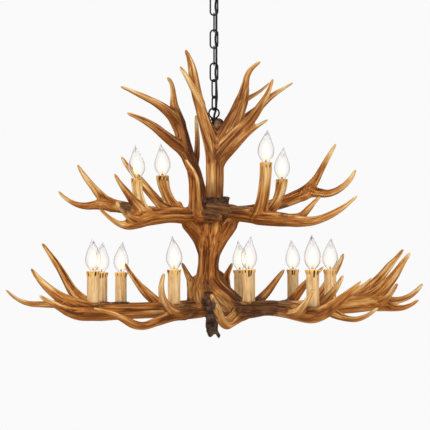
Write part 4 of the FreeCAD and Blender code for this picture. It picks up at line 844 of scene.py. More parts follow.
def antler_resin(name, honey, umber):
    """Aged antler: pale ridges and tips, honey body, dark lengthwise lines, bark near the roots, and painted
    shade in hollows, in pits, on undersides and on the antlers at the back.
    """
    finish = Finish(name, Specular_IOR_Level=0.12)
    wide = streaks(finish, 0.8, 0.07, 1.0)
    fine = streaks(finish, 2.4, 0.11, 1.0)
    hair = streaks(finish, 5.0, 0.2, 1.0)
    patch = finish.place().noise(11.0, 2.0)
    tip, rim, tone_and_shade = finish.attribute("tip"), finish.attribute("rim"), finish.attribute("tone_and_shade")
    ridge, root = finish.attribute("ridge"), finish.attribute("root")
    lines = fine * 1.5 + hair * 1.0 + wide * 0.9 + patch * 0.7 - 2.05
    slender = finish.attribute("slender")
    # the per-antler darkening subtracted here is painted shade on the antlers at the back
    tone = lines * 0.9 + ridge * 0.7 + 0.08 + tip * 0.26 + slender * 0.10 - root * 0.36 - tone_and_shade
    body = tone.ramp(0.02, 0.44).blend(umber, honey)
    body = tone.ramp(0.44, 0.78).blend(body, PALE)
    body = tone.ramp(0.76, 1.12).blend(body, CREAM)
    # painted shading: undersides tinted orange-brown
    body = (finish.attribute("underside_shading") * 0.6).blend(body, UNDERSIDE_SHADING_TINT)
    body = (rim * 0.6).blend(body, GOLD)
    # the dark patches in the bark mask are painted shade and take these same bark colours
    shell = (hair * 0.6 + fine * 0.4).ramp(0.38, 0.62).blend(BARK_BLACK_AND_SHADE, SHELL)
    body = finish.attribute("bark").blend(body, shell)
    # painted shade in the pits under a cup's rim
    body = finish.attribute("pit_and_shade").blend(body, BARK_BLACK_AND_SHADE)
    finish.feed("Base Color", body)
    finish.feed("Roughness", fine.ramp(0.3, 0.7, 0.78, 0.6))
    finish.bump(fine * 0.8 + hair * 0.4, 0.5, 0.0016)
    return finish.material


def bark_resin(name, low, high):
    """Rough burr, darker in its hollows as painted shade and lighter on its lumps as painted light."""
    finish = Finish(name, Specular_IOR_Level=0.3)
    place = finish.place()
    lumps = place.noise(90.0, 4.0, 0.6)
    grain = place.noise(420.0, 3.0)
    # the lumps that make the bump also set the colour: painted light on the lumps, painted shade in the
    # hollows
    finish.feed("Base Color", (lumps * 0.75 + grain * 0.3).ramp(0.42, 0.66).blend(low, high))
    finish.feed("Roughness", grain.ramp(0.3, 0.7, 0.75, 0.42))
    finish.bump(lumps + grain * 0.4, 0.8, 0.002)
    return finish.material


def sleeve_resin():
    """Tan candle sleeve: fine upright streaks, a golden rim and dark slots under it, their darkness painted
    shade.
    """
    finish = Finish("sleeve_resin", Roughness=0.55, Specular_IOR_Level=0.3)
    flow = finish.attribute("flow_a", 1)
    streak = flow.stretch(5.0, 5.0, 0.12).noise(1.0, 3.0, 0.6)
    drift = flow.stretch(1.6, 1.6, 0.5).noise(1.0, 2.0)
    tone = streak * 0.9 + drift * 0.35
    colour = tone.ramp(0.36, 0.74).blend((0.43, 0.165, 0.038), (0.83, 0.57, 0.27))
    colour = (finish.attribute("tip") * 0.9).blend(colour, (0.98, 0.56, 0.13))
    # painted shade in the rim's slots and in the bore
    colour = finish.attribute("pit_and_shade").ramp(0.25, 0.85).blend(colour, (0.008, 0.003, 0.002))
    finish.feed("Base Color", colour)
    finish.bump(streak, 0.35, 0.0008)
    return finish.material


def black_steel(name, colour, roughness):
    """Black painted steel with paler scuffs."""
    finish = Finish(name, Specular_IOR_Level=0.18)
    scuff = finish.place().noise(240.0, 4.0, 0.65)
    scuffed = tuple(2.5 * c + 0.006 for c in colour)
    finish.feed("Base Color", scuff.ramp(0.35, 0.75).blend(colour, scuffed))
    finish.feed("Roughness", scuff.ramp(0.3, 0.7, roughness, roughness + 0.2))
    finish.bump(scuff, 0.15, 0.0004)
    return finish.material


def plated_steel():
    """Grey plating with fine upright brush lines."""
    finish = Finish("plated_steel", Metallic=1.0)
    brushed = finish.place().stretch(1.0, 1.0, 14.0).noise(160.0, 3.0)
    finish.feed("Base Color", brushed.blend((0.40, 0.39, 0.36), (0.66, 0.64, 0.60)))
    finish.feed("Roughness", brushed.ramp(0.2, 0.8, 0.28, 0.5))
    return finish.material


def brass():
    """Slightly tarnished brass."""
    finish = Finish("bulb_brass", Metallic=1.0)
    tarnish = finish.place().noise(300.0, 3.0)
    finish.feed("Base Color", tarnish.blend((0.62, 0.42, 0.14), (0.80, 0.62, 0.28)))
    finish.feed("Roughness", tarnish.ramp(0.2, 0.8, 0.2, 0.42))
    return finish.material


def cord_black():
    """Black braid around the cord."""
    finish = Finish("cord_black", Specular_IOR_Level=0.25)
    braid = finish.attribute("flow_a", 1).stretch(6.0, 6.0, 6.0).noise(1.5, 2.0)
    finish.feed("Base Color", braid.blend((0.006, 0.006, 0.006), (0.022, 0.021, 0.021)))
    finish.feed("Roughness", braid.ramp(0.3, 0.7, 0.45, 0.7))
    finish.bump(braid, 0.15, 0.0003)
    return finish.material


def black_plastic():
    """Black moulded lampholder."""
    finish = Finish("lampholder_black", Roughness=0.4)
    grain = finish.place().noise(500.0, 2.0)
    finish.feed("Base Color", grain.blend((0.02, 0.018, 0.016), (0.05, 0.045, 0.04)))
    finish.feed("Roughness", grain.ramp(0.3, 0.7, 0.35, 0.55))
    return finish.material


def clear_glass():
    """Clear bulb glass, greyer along its outline as a painted reflection, and with dark strokes near its
    tip.
    """
    finish = Finish("bulb_clear_glass", Roughness=0.0, IOR=1.07, Transmission_Weight=1.0)
    edge = finish.start.node("ShaderNodeLayerWeight", {}, {"Blend": 0.5}, 1)
    strokes = finish.place().stretch(1.0, 1.0, 0.12).noise(330.0, 1.0).ramp(0.50, 0.62)
    # painted reflection: the glass greys where it is seen edge-on
    colour = edge.ramp(0.25, 0.98).blend((0.990, 0.975, 0.970), (0.62, 0.55, 0.53))
    colour = (finish.attribute("tip") * strokes * 0.8).blend(colour, (0.38, 0.34, 0.32))
    finish.feed("Base Color", colour)
    return finish.material


def glow(name, colour, strength, alpha):
    """The light that seems to hang inside a lit bulb."""
    finish = Finish(name, Roughness=1.0, Specular_IOR_Level=0.0, Emission_Strength=strength,
                    Emission_Color=(*colour, 1.0), Base_Color=(*colour, 1.0), Alpha=alpha)
    return finish.material


def amber_glow():
    """The lit mount: white-hot at the top, amber and brown towards its foot."""
    finish = Finish("bulb_mount_amber", Roughness=0.3, Emission_Strength=1.0)
    height = finish.attribute("tip")
    finish.feed("Base Color", height.blend((0.25, 0.10, 0.02), (0.9, 0.55, 0.12)))
    finish.feed("Emission Color", height.ramp(0.1, 0.9).blend((0.10, 0.035, 0.004), (1.0, 0.62, 0.14)))
    return finish.material


# ---------------------------------------------------------------- turned and spread pieces
def turned(name, sections, segments=40, rough=0.0, grain=12.0, seed=0, hollow=False):
    """A mesh of rings (x, y, z, radius) in mm; solid ones get poles, a hollow one is a closed loop."""
    sections = np.array(sections, dtype=float)
    angle = full_turn(segments)
    circle = np.column_stack([np.cos(angle), np.sin(angle), np.zeros(segments)])
    points = (sections[:, None, :3] + sections[:, None, 3:] * circle[None]).reshape(-1, 3)
    if rough:
        push = noise(points / grain, seed) + 0.5 * noise(points / (0.4 * grain), seed + 3)
        points = points + np.tile(circle, (len(sections), 1)) * (rough * push)[:, None]
        points[:, 2] += 0.5 * rough * noise(points / grain, seed + 9)
    faces = band_faces(len(sections), segments, hollow)
    if not hollow:
        for ring in (0, len(sections) - 1):
            points = np.vstack([points, sections[ring, :3]])
            faces += pole_faces(ring, segments, len(points) - 1)
    return make_mesh(name, points, faces)


def smooth_rings(sections, per_gap):
    """Sections with more rings in between, on a smooth curve."""
    return smooth_curve(np.array(sections, dtype=float), lambda a, b: per_gap)


def spread_tree():
    """Geometry Nodes: one model piece set at every point, each turned by the point's own angle."""
    tree = bpy.data.node_groups.new("pieces_at_points", "GeometryNodeTree")
    ids = {}
    for label, kind in (("Points", "NodeSocketGeometry"), ("Model piece", "NodeSocketObject"),
                        ("Finish", "NodeSocketMaterial"), ("Size", "NodeSocketFloat")):
        ids[label] = tree.interface.new_socket(label, in_out="INPUT", socket_type=kind).identifier
    tree.interface.new_socket("Pieces", in_out="OUTPUT", socket_type="NodeSocketGeometry")
    start = tree.nodes.new("NodeGroupInput")
    info = tree.nodes.new("GeometryNodeObjectInfo")
    turn = tree.nodes.new("GeometryNodeInputNamedAttribute")
    turn.data_type = "FLOAT"
    turn.inputs["Name"].default_value = "turn"
    around = tree.nodes.new("ShaderNodeCombineXYZ")
    place = tree.nodes.new("GeometryNodeInstanceOnPoints")
    real = tree.nodes.new("GeometryNodeRealizeInstances")
    paint = tree.nodes.new("GeometryNodeSetMaterial")
    end = tree.nodes.new("NodeGroupOutput")
    link = tree.links.new
    link(start.outputs["Points"], place.inputs["Points"])
    link(start.outputs["Model piece"], info.inputs["Object"])
    link(info.outputs["Geometry"], place.inputs["Instance"])
    link(turn.outputs["Attribute"], around.inputs["Z"])
    link(around.outputs[0], place.inputs["Rotation"])
    link(start.outputs["Size"], place.inputs["Scale"])
    link(place.outputs[0], real.inputs[0])
    link(real.outputs[0], paint.inputs[0])
    link(start.outputs["Finish"], paint.inputs["Material"])
    link(paint.outputs[0], end.inputs[0])
    return tree, ids


SPREAD, SPREAD_IDS = spread_tree()


def spread(name, model, places, turns, material):
    """One mesh with the model mesh repeated at the places (mm), turned about the vertical."""
    piece = bpy.data.objects.new(name + "_model", model)
    bpy.context.scene.collection.objects.link(piece)
    carrier_mesh = bpy.data.meshes.new(name + "_points")
    carrier_mesh.from_pydata([Vector(p) * MM for p in places], [], [])
    put_values(carrier_mesh, "turn", turns)
    carrier = bpy.data.objects.new(name + "_points", carrier_mesh)
    bpy.context.scene.collection.objects.link(carrier)
    modifier = carrier.modifiers.new("spread", "NODES")
    modifier.node_group = SPREAD
    modifier[SPREAD_IDS["Model piece"]] = piece
    modifier[SPREAD_IDS["Finish"]] = material
    modifier[SPREAD_IDS["Size"]] = 1.0
    graph = bpy.context.evaluated_depsgraph_get()
    mesh = bpy.data.meshes.new_from_object(carrier.evaluated_get(graph))
    mesh.name = name
    bpy.data.objects.remove(carrier)
    bpy.data.objects.remove(piece)
    return mesh


# ---------------------------------------------------------------- candles
class Candle:
    """One light: its axis, rim and foot (mm), and how far its bulb is turned."""

    def __init__(self, rim, foot, turn, is_cup):
        self.x, self.y, self.rim = rim
        self.foot = foot
        self.turn = math.radians(turn)
        self.is_cup = is_cup


def find_candles():
    """The lights of the upper tier, then those of the lower one."""
    candles = []
    for antler, cup, turn in UPPER_CANDLES:
        column, row, _, depth = ANTLERS[antler][cup][-1]
        rim = spot(column, row, depth)
        candles.append(Candle(rim, rim[2] - SOCKET_HEIGHT, turn, True))
    for column, row, foot_row, depth, turn in LOWER_CANDLES:
        candles.append(Candle(spot(column, row, depth), spot(column, foot_row, depth)[2], turn, False))
    return candles


CANDLES = find_candles()
STANDING = [candle for candle in CANDLES if not candle.is_cup]


def rim_slots(angle, seed):
    """For angles around a rim: how far each lies in a slot, and that slot's length (mm)."""
    inside, length = np.zeros(len(angle)), np.full(len(angle), 9.0)
    for i in range(RIM_SLOTS):
        draw = lattice(np.array([[i, seed, 0], [i, seed, 1], [i, seed, 2]]), 35)
        middle = (i + 0.35 * draw[0]) * 2.0 * math.pi / RIM_SLOTS
        away = np.abs((angle - middle + math.pi) % (2.0 * math.pi) - math.pi)
        here = smooth_step(0.17, 0.09, away) * (0.66 + 0.34 * draw[1])
        length[here > inside] = 11.5 + 6.0 * draw[2]
        inside = np.maximum(inside, here)
    return inside, length


def sleeve_model(height, seed):
    """Streaky sleeve whose flared rim is cut by dark slots, their darkness painted shade, seen from its foot
    at the origin.
    """
    segments, rows = 96, 36
    angle = full_turn(segments)
    ring = np.column_stack([np.cos(angle), np.sin(angle)])
    slot, length = rim_slots(angle, seed)
    scallop = noise(np.column_stack([ring * 5.0, np.full(segments, seed + 0.5)]), 31)
    points, golden, dark, flow = [], [], [], []
    heights = list(height * (np.linspace(0.0, 1.0, rows) ** 0.72))
    for z in heights + [height]:
        below = height - z
        wave = noise(np.column_stack([ring * 1.1, np.full(segments, z / 30.0 + seed)]), 33)
        fine = noise(np.column_stack([ring * 6.0, np.full(segments, z / 60.0 + seed)]), 34)
        flare = smooth_step(13.0, 2.0, below) * (1.0 + 0.55 * scallop)
        cut = slot * smooth_step(0.8, 2.6, below) * smooth_step(1.15, 0.85, below / length)
        radius = SLEEVE_RADIUS - 0.5 + 0.55 * wave + 0.35 * fine + (SLEEVE_LIP - SLEEVE_RADIUS) * flare
        radius = radius - 1.1 * cut - 1.1 * smooth_step(1.2, 0.0, below)
        dip = 1.4 * (0.5 + 0.5 * scallop) * (below < 0.1)
        points.append(np.column_stack([ring * radius[:, None], z - dip]))
        gold = max(smooth_step(8.0, 3.0, below), smooth_step(20.0, 5.0, below) * 0.6)
        golden.append(np.full(segments, gold))
        # the slots' cut also sets their painted shade
        dark.append(cut)
        flow.append(np.column_stack([ring * 1.4, np.full(segments, z / 10.0 + 9.0 * seed)]))
    # the bore's inner wall gets some painted shade
    for z in (height - 1.4, 0.0):
        points.append(np.column_stack([ring * SLEEVE_BORE, np.full(segments, z)]))
        golden.append(np.full(segments, 0.3))
        dark.append(np.full(segments, 0.4))
        flow.append(np.column_stack([ring * 1.4, np.full(segments, z / 10.0)]))
    mesh = make_mesh("sleeve_model", np.vstack(points), band_faces(len(points), segments, True))
    put_values(mesh, "tip", np.concatenate(golden))
    put_values(mesh, "pit_and_shade", np.concatenate(dark))
    put_vectors(mesh, "flow_a", np.vstack(flow))
    return mesh


def tray_model():
    """Rough bark collar, seen from the sleeve's foot."""
    top, low = 0.4 * TRAY_HEIGHT, -0.6 * TRAY_HEIGHT
    outline = [(SLEEVE_RADIUS, low + 0.4), (TRAY_RADIUS - 4.5, low), (TRAY_RADIUS - 1.8, low + 2.2),
               (TRAY_RADIUS - 1.0, 0.0), (TRAY_RADIUS - 2.4, top - 0.8), (SLEEVE_RADIUS + 2.0, top),
               (SLEEVE_RADIUS - 0.6, top)]
    rings = [(0, 0, z, radius) for radius, z in outline]
    return turned("tray_model", rings, 56, 0.9, 4.2, 41, hollow=True)


def bulb_sections(candle, rows):
    """Rings (x, y, z, radius) of a bulb from rows (height above the rim, radius, share of the bend)."""
    return [(candle.x + BULB_BEND * share * math.cos(candle.turn),
             candle.y + BULB_BEND * share * math.sin(candle.turn), candle.rim + height, radius)
            for height, radius, share in rows]


def heights_above(mesh, level):
    """How far the points of a mesh are above a level (mm)."""
    return np.array([v.co.z / MM - level for v in mesh.vertices])


def bulb_glass(candle, name):
    """Thin-walled flame bulb: the outer skin, then the inner one back down to the neck."""
    outer = smooth_rings(bulb_sections(candle, BULB_SECTIONS), 5)
    inside = outer[:int(len(outer) * 0.86)].copy()
    inside[:, 3] = np.maximum(inside[:, 3] - GLASS_WALL, 0.25)
    inside = inside[::-1]
    tip = outer[-1].copy()
    tip[3] = 0.05
    tip[2] += 0.3
    rings = np.vstack([outer, tip, tip * [1, 1, 1, 0] + [0, 0, -1.0, 0.04], inside])
    mesh = turned(name, rings, 36, hollow=True)
    bulb_height = BULB_SECTIONS[-1][0]
    put_values(mesh, "tip", smooth_step(0.62, 0.92, heights_above(mesh, candle.rim) / bulb_height))
    return mesh


def bulb_cap(candle, name):
    """Brass screw cap with its thread and centre contact."""
    low, high = candle.rim - 1.0 - BULB_CAP_HEIGHT, candle.rim - 0.5
    rows = [(low, 1.6), (low + 0.9, 2.4), (low + 1.2, 4.6)]
    for z in np.arange(low + 1.8, high - 1.2, 0.4):
        rows.append((z, BULB_CAP_RADIUS - 0.5 + THREAD_DEPTH * math.cos(z * 2.0 * math.pi / THREAD_PITCH)))
    rows += [(high - 0.8, BULB_CAP_RADIUS - 0.1), (high, BULB_CAP_RADIUS - 0.1)]
    return turned(name, [(candle.x, candle.y, z, radius) for z, radius in rows], 28)


# ---------------------------------------------------------------- cord through the chain
def chain_heights():
    """Middle heights of the links, top first (mm)."""
    contact = LINK_WIRE + LINK_GAP
    eye_contact = (LINK_WIRE + LOOP_WIRE) / 2 + LINK_GAP
    end_half = (END_LINK_LENGTH - LINK_WIRE) / 2
    half = (LINK_LENGTH - LINK_WIRE) / 2
    heights = [HUB_LOOP_Z + LOOP_RADIUS - eye_contact + end_half]
    z = heights[0] + end_half - contact + half
    for _ in range(LINK_COUNT):
        heights.insert(0, z)
        z += 2 * half - contact
    return heights


def cord_points(heights, eye_z):
    """The cord's route: down the eye, woven through the links, into the hub (mm)."""
    side, weave = CORD_SIDE, CORD_WEAVE
    reach = LINK_LENGTH / 2 - LINK_WIRE
    first, second, third, fourth, fifth, sixth, last = heights
    return [
        (3, 36, -17), (2, 23, -10), (1, 10, -8), (0, 0.4, -14.5), (0.05, 0, -27), (0, 0.1, eye_z + 18),
        (0.2, 0.3, eye_z + 8.5), (3.0, 3.4, eye_z + 1), (side, weave + 0.1, first + reach),
        (CORD_INNER, 0, first), (side, -weave, first - reach), (side - 0.3, -weave - 0.4, second),
        (side, -weave, third + reach), (CORD_INNER, 0, third), (side, weave, third - reach),
        (side - 0.3, weave + 0.4, fourth), (side, weave, fifth + reach), (CORD_INNER, 0, fifth),
        (side - 0.5, -weave, fifth - reach), (side, -4.2, sixth), (side + 1.1, 0.5, sixth - reach),
        (side - 0.5, 2.2, last - 2), (4.8, 6.0, HUB_LOOP_Z + 11.5), (2.4, 4.0, HUB_LOOP_Z + 2),
        (0.2, 0.1, HUB_LOOP_Z - 5.5), (0, 0, HUB_LOOP_Z - 18), (0.05, 0.1, HUB_LOOP_Z - 27),
    ]


def cord_line(points):
    """The route as a smooth line that stays inside its corners."""
    curve = bpy.data.curves.new("cord_route", "CURVE")
    curve.dimensions = "3D"
    spline = curve.splines.new("NURBS")
    spline.points.add(len(points) - 1)
    for point, place in zip(spline.points, points):
        point.co = (*place, 1.0)
    spline.order_u = 3
    spline.use_endpoint_u = True
    spline.resolution_u = 10
    holder = bpy.data.objects.new("cord_route", curve)
    bpy.context.scene.collection.objects.link(holder)
    graph = bpy.context.evaluated_depsgraph_get()
    mesh = bpy.data.meshes.new_from_object(holder.evaluated_get(graph))
    line = np.array([v.co for v in mesh.vertices], dtype=float)
    bpy.data.objects.remove(holder)
    bpy.data.meshes.remove(mesh)
    return line


def tube_rings(line, radius, sides=14):
    """Rings of a round tube with a frame carried along it, and the flow coordinates."""
    tangent = np.gradient(line, axis=0)
    tangent /= np.linalg.norm(tangent, axis=1)[:, None]
    along = np.concatenate([[0.0], np.cumsum(np.linalg.norm(np.diff(line, axis=0), axis=1))])
    side = np.array([1.0, 0.0, 0.0])
    angle = full_turn(sides)
    rings, flow = [], []
    for centre, direction, s in zip(line, tangent, along):
        side = side - direction * side.dot(direction)
        side /= np.linalg.norm(side)
        other = np.cross(direction, side)
        ring = np.cos(angle)[:, None] * side + np.sin(angle)[:, None] * other
        rings.append(centre + radius * ring)
        flow.append(np.column_stack([np.cos(angle), np.sin(angle), np.full(sides, s / 10.0)]))
    return np.array(rings), np.array(flow)


def cord_piece(name, rings, flow):
    """One length of cord with flat ends."""
    count, sides = rings.shape[:2]
    points = np.vstack([rings.reshape(-1, 3), rings[0].mean(axis=0), rings[-1].mean(axis=0)])
    faces = band_faces(count, sides) + pole_faces(0, sides, count * sides)
    faces += pole_faces(count - 1, sides, count * sides + 1)
    mesh = make_mesh(name, points, faces)
    ends = [flow[ring, :1] * [0, 0, 1] for ring in (0, -1)]
    put_vectors(mesh, "flow_a", np.vstack([flow.reshape(-1, 3), *ends]))
    return mesh


def add_cord(material):
    """The cord in eight lengths, each spanning one joint of the chain."""
    heights = chain_heights()
    eye_z = (heights[0] + (LINK_LENGTH - LINK_WIRE) / 2 - (LINK_WIRE + LOOP_WIRE) / 2 - LINK_GAP
             + LOOP_RADIUS)
    rings, flow = tube_rings(cord_line(cord_points(heights, eye_z)), CORD_RADIUS)
    level = rings.mean(axis=1)[:, 2]
    past_canopy = np.arange(len(level)) > CANOPY_POINTS
    cuts = [0] + [int(np.argmax((level < z) & past_canopy)) for z in heights] + [len(level) - 1]
    bodies = ["ceiling_mount"] + ["link_%d" % (i + 1) for i in range(LINK_COUNT + 1)] + ["fixture"]
    middles = [eye_z] + heights + [HUB_LOOP_Z]
    for i in range(len(cuts) - 1):
        name = "power_cord_length_%d" % (i + 1)
        mesh = cord_piece(name, rings[cuts[i]:cuts[i + 1] + 1], flow[cuts[i]:cuts[i + 1] + 1])
        piece = add_piece(name, mesh, material, None, "black_cord", "power_cord")
        joint = 0.5 * (middles[i] + middles[i + 1])
        above = (bodies[i], (0, 0, (joint + CORD_BEND_REACH) * MM))
        below = (bodies[i + 1], (0, 0, (joint - CORD_BEND_REACH) * MM))
        if i == RISING_LENGTH:
            above, below = below, above
        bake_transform(piece)


# ---------------------------------------------------------------- the chandelier
RESIN = antler_resin("antler_resin_skin", HONEY, UMBER)
CROWN_RESIN = antler_resin("crown_resin_skin", CROWN_HONEY, CROWN_UMBER)
TRUNK_RESIN = antler_resin("column_resin_skin", HONEY, UMBER)
BARK = bark_resin("bark_skin", BARK_DARK, BARK_LIT)
BURR = bark_resin("burr_skin", (0.075, 0.034, 0.013), (0.34, 0.20, 0.085))
COLLAR = bark_resin("collar_skin", (0.16, 0.058, 0.014), (0.46, 0.22, 0.065))
SLEEVE = sleeve_resin()
CHAIN_BLACK = black_steel("chain_black", (0.006, 0.006, 0.006), 0.34)
CANOPY_BLACK = black_steel("canopy_black", (0.018, 0.018, 0.018), 0.45)
NUT_BLACK = black_steel("nut_black", (0.022, 0.020, 0.018), 0.35)
PLATED = plated_steel()
BRASS = brass()
CORD_BLACK = cord_black()
HOLDER_BLACK = black_plastic()
GLASS = clear_glass()
MOUNT_AMBER = amber_glow()
GLOW_FINISH = {"glow_outer": glow("glow_warm", (1.0, 0.77, 0.42), 1.0, 0.5),
               "glow_core": glow("glow_white", (1.0, 0.96, 0.84), 1.15, 0.85)}


def picture_line(line):
    """A branch's (column, row, width, depth) as places and radii in mm."""
    scale = VIEW_DISTANCE + BALANCE_SHIFT
    return [(*spot(c, r, d), 0.5 * w * (scale + d) / FOCAL) for c, r, w, d in line]


def add_to_fixture(name, mesh, finish, slot, node):
    """A piece that hangs and swings with the antlers."""
    add_piece(name, mesh, finish, "fixture", slot, node)


for seed, (name, branches) in enumerate(ANTLERS.items()):
    lines = {key: picture_line(line) for key, line in branches.items()}
    finish = CROWN_RESIN if name.startswith("crown") else RESIN
    add_to_fixture(name + "_skin", antler_mesh(name, lines, seed + 1), finish, "antler_resin", name)

trunk_lines = {key: picture_line(line) for key, line in CENTRE_TRUNK.items()}
trunk_lines["right_foot"] += picture_line(FOOT_SPREAD)
met = [picture_line(ANTLERS[tier + side]["beam"][:5])
       for tier in ("upper_", "lower_") for side in ("front_left_antler", "front_right_antler")]
add_to_fixture("centre_column_skin", antler_mesh("centre_column", trunk_lines, 30, guests=met), TRUNK_RESIN,
               "column_resin", "centre_column")

# rough burrs at the top and at the foot: lines of x, y, z and radius (mm)
TOP_BURR = {"beam": [(4, 2, -390, 11.0), (8, 3, -376, 13.4), (11, 3, -365, 12.6)]}
FINIAL_BURR = {"beam": [(-4, 0, -796, 15), (-5.5, -1, -816, 13), (-8, -2, -827, 8.4), (-10, -2, -835.5, 4)],
               "spur": [(-1, -2, -812, 8.5), (3, -3, -822, 5.8), (8, -4, -832, 4.2), (12, -5, -840, 2.4)]}
for node, lines, seed, ruggedness, finish in (("top_burr", TOP_BURR, 31, 1.5, BURR),
                                              ("finial_burr", FINIAL_BURR, 32, 1.2, BARK)):
    mesh = antler_mesh(node + "_skin", lines, seed, ruggedness)
    add_to_fixture(node + "_skin", mesh, finish, "bark_resin", node)

# bulging burrs around the hubs: radius, lowest and highest height (mm)
for node, radius, low, high, seed in (("upper_hub_burr", 31.0, -588.0, -540.0, 51),
                                      ("lower_hub_burr", 33.0, -797.0, -757.0, 52)):
    middle, half = 0.5 * (low + high), 0.5 * (high - low)
    rings = []
    for bow in np.linspace(-0.5, 0.5, 19) * math.pi:
        rise = (half - 2.0) * math.sin(bow) / abs(math.sin(bow)) ** 0.35 if abs(bow) > 0.01 else 0.0
        rings.append((0, 0, middle + rise, max((radius - 2.0) * abs(math.cos(bow)) ** 0.5, 0.3)))
    mesh = turned(node + "_skin", rings, 72, 1.6, 9.0, seed)
    add_to_fixture(node + "_skin", mesh, BARK, "bark_resin", node)

# rough ring at the foot of the crown antler (radius, height above the foot), and two lumps of bark
CORONET = [(18, -11), (26, -9), (28.5, -3), (26, 3), (24, 8), (17, 9)]
foot = spot(*CROWN_FOOT)
rings = smooth_rings([(*(foot + [0, 0, up]), radius) for radius, up in CORONET], 5)
mesh = turned("crown_coronet", rings, 96, 3.4, 6.0, 53)
add_to_fixture("crown_coronet", mesh, BARK, "bark_resin", "upper_hub_burr")
for name, line, node in (("crown_coronet_lump", CORONET_LUMP, "upper_hub_burr"),
                         ("lower_hub_lump", HUB_LUMP, "lower_hub_burr")):
    mesh = antler_mesh(name, {"beam": picture_line(line)}, 54, 1.8)
    add_to_fixture(name, mesh, BARK, "bark_resin", node)

turns = [1.3 * i for i in range(len(STANDING))]
for kind, finish, slot, behind in (("bark", BARK, "bark_resin", True),
                                   ("antler", COLLAR, "antler_resin", False)):
    chosen = [(c, turn) for c, turn in zip(STANDING, turns) if (c.y > 0.0) == behind]
    places = [(c.x, c.y, c.foot) for c, turn in chosen]
    name = "candle_trays_" + kind
    mesh = spread(name, tray_model(), places, [turn for c, turn in chosen], finish)
    add_to_fixture(name, mesh, finish, slot, "candle_trays")
for i, candle in enumerate(STANDING):
    number = i + 1 + len(UPPER_CANDLES)
    model = sleeve_model(candle.rim - candle.foot, i)
    place = (candle.x, candle.y, candle.foot)
    mesh = spread("candle_sleeve_%d" % number, model, [place], [turns[i]], SLEEVE)
    add_to_fixture("candle_sleeve_%02d" % number, mesh, SLEEVE, "sleeve_resin", "candle_sleeves")

for i, candle in enumerate(CANDLES):
    node = "bulb_%02d" % (i + 1)
    mount = turned(node + "_mount", smooth_rings(bulb_sections(candle, MOUNT_SECTIONS), 3), 20)
    put_values(mount, "tip", np.clip(heights_above(mount, candle.rim) / MOUNT_HEIGHT, 0, 1))
    parts = [("glass", bulb_glass(candle, node + "_glass"), GLASS),
             ("cap", bulb_cap(candle, node + "_cap"), BRASS), ("mount", mount, MOUNT_AMBER)]
    for key, rows in GLOW_SECTIONS.items():
        rings = smooth_rings(bulb_sections(candle, rows), 4)
        parts.append((key, turned(node + "_" + key, rings, 24), GLOW_FINISH[key]))
    for part, mesh, finish in parts:
        add_piece(node + "_" + part, mesh, finish, node + "_body", "bulb_glass", node)

add_cord(CORD_BLACK)

FINISHES = {"canopy": CANOPY_BLACK, "canopy_cap_nuts": CANOPY_BLACK, "canopy_eye": CHAIN_BLACK,
            "hub_eye": CHAIN_BLACK, "canopy_eye_nut": NUT_BLACK, "upper_lampholders": HOLDER_BLACK,
            "lower_lampholders": HOLDER_BLACK}
for node in ("mounting_crossbar", "canopy_screws", "centre_pipe", "crown_tie_studs", "upper_tie_studs",
             "lower_tie_studs", "lampholder_stems"):
    FINISHES[node] = PLATED
for node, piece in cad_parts.items():
    finish = CHAIN_BLACK if node.startswith("chain_link") else FINISHES.get(node)
    if finish:
        for slot in piece.material_slots:
            slot.material = finish


# ---------------------------------------------------------------- camera, light and floor
def add_light(name, place, aim, size, power, colour):
    """A round soft lamp at a place, turned towards its aim."""
    data = bpy.data.lights.new(name, "AREA")
    data.shape = "DISK"
    data.size = size
    data.energy = power
    data.color = colour
    lamp = bpy.data.objects.new(name, data)
    lamp.location = place
    lamp.rotation_euler = (Vector(aim) - Vector(place)).to_track_quat("-Z", "Y").to_euler()
    bpy.context.scene.collection.objects.link(lamp)


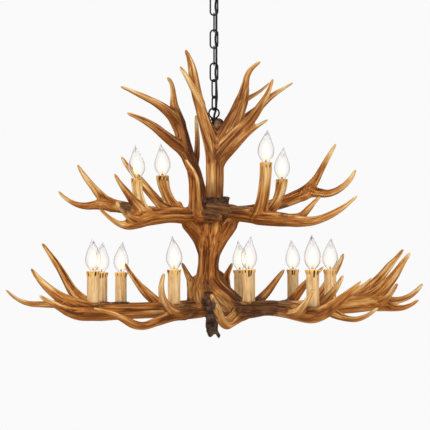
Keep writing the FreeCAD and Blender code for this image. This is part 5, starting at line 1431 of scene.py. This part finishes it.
MIDDLE = (0.0, 0.0, -0.6)
SURROUNDINGS = (0.45, 0.445, 0.44, 1.0)
BACKDROP = (0.955, 0.955, 0.955, 1.0)
FLOOR_HEIGHT = -2.3
FLOOR_HALF = 2.5
SENSOR_WIDTH = 36.0
add_light("key_light", (-1.5, -2.3, 0.9), MIDDLE, 1.6, 56.0, (1.0, 0.985, 0.96))
add_light("fill_light", (2.2, -1.9, -0.4), MIDDLE, 1.8, 34.0, (1.0, 0.99, 0.98))
add_light("back_light", (0.6, 2.4, 0.9), MIDDLE, 1.6, 20.0, (1.0, 0.98, 0.95))

# The camera sees the backdrop, straight or through glass; the surroundings light everything else.
world = bpy.data.worlds.new("studio")
bpy.context.scene.world = world
world.use_nodes = True
nodes, links = world.node_tree.nodes, world.node_tree.links
path = nodes.new("ShaderNodeLightPath")
in_view = nodes.new("ShaderNodeMath")
in_view.operation = "MAXIMUM"
links.new(path.outputs["Is Camera Ray"], in_view.inputs[0])
links.new(path.outputs["Is Transmission Ray"], in_view.inputs[1])
blend = nodes.new("ShaderNodeMix")
blend.data_type = "RGBA"
blend.inputs[6].default_value = SURROUNDINGS
blend.inputs[7].default_value = BACKDROP
links.new(in_view.outputs[0], blend.inputs[0])
links.new(blend.outputs[2], nodes["Background"].inputs["Color"])

floor_mesh = bpy.data.meshes.new("floor")
corners = [(FLOOR_HALF * x, FLOOR_HALF * y, FLOOR_HEIGHT) for x, y in ((-1, -1), (1, -1), (1, 1), (-1, 1))]
floor_mesh.from_pydata(corners, [], [(0, 1, 2, 3)])
floor = bpy.data.objects.new("floor", floor_mesh)
bpy.context.scene.collection.objects.link(floor)
floor_paint = Finish("floor_paint", Roughness=0.9, Base_Color=(0.86, 0.86, 0.86, 1.0))
floor_mesh.materials.append(floor_paint.material)

camera_data = bpy.data.cameras.new("photo_view")
camera_data.sensor_width = SENSOR_WIDTH
camera_data.lens = SENSOR_WIDTH * FOCAL / PICTURE_SIZE
camera_data.clip_end = 50.0
camera = bpy.data.objects.new("photo_view", camera_data)
camera.location = ((VIEW_CENTRE - AXIS_COLUMN) * VIEW_SCALE * MM, -VIEW_DISTANCE * MM, VIEW_HEIGHT * MM)
camera.rotation_euler = (math.pi / 2 + TILT, 0.0, 0.0)
bpy.context.scene.collection.objects.link(camera)
bpy.context.scene.camera = camera
bpy.context.scene.view_settings.view_transform = "Standard"
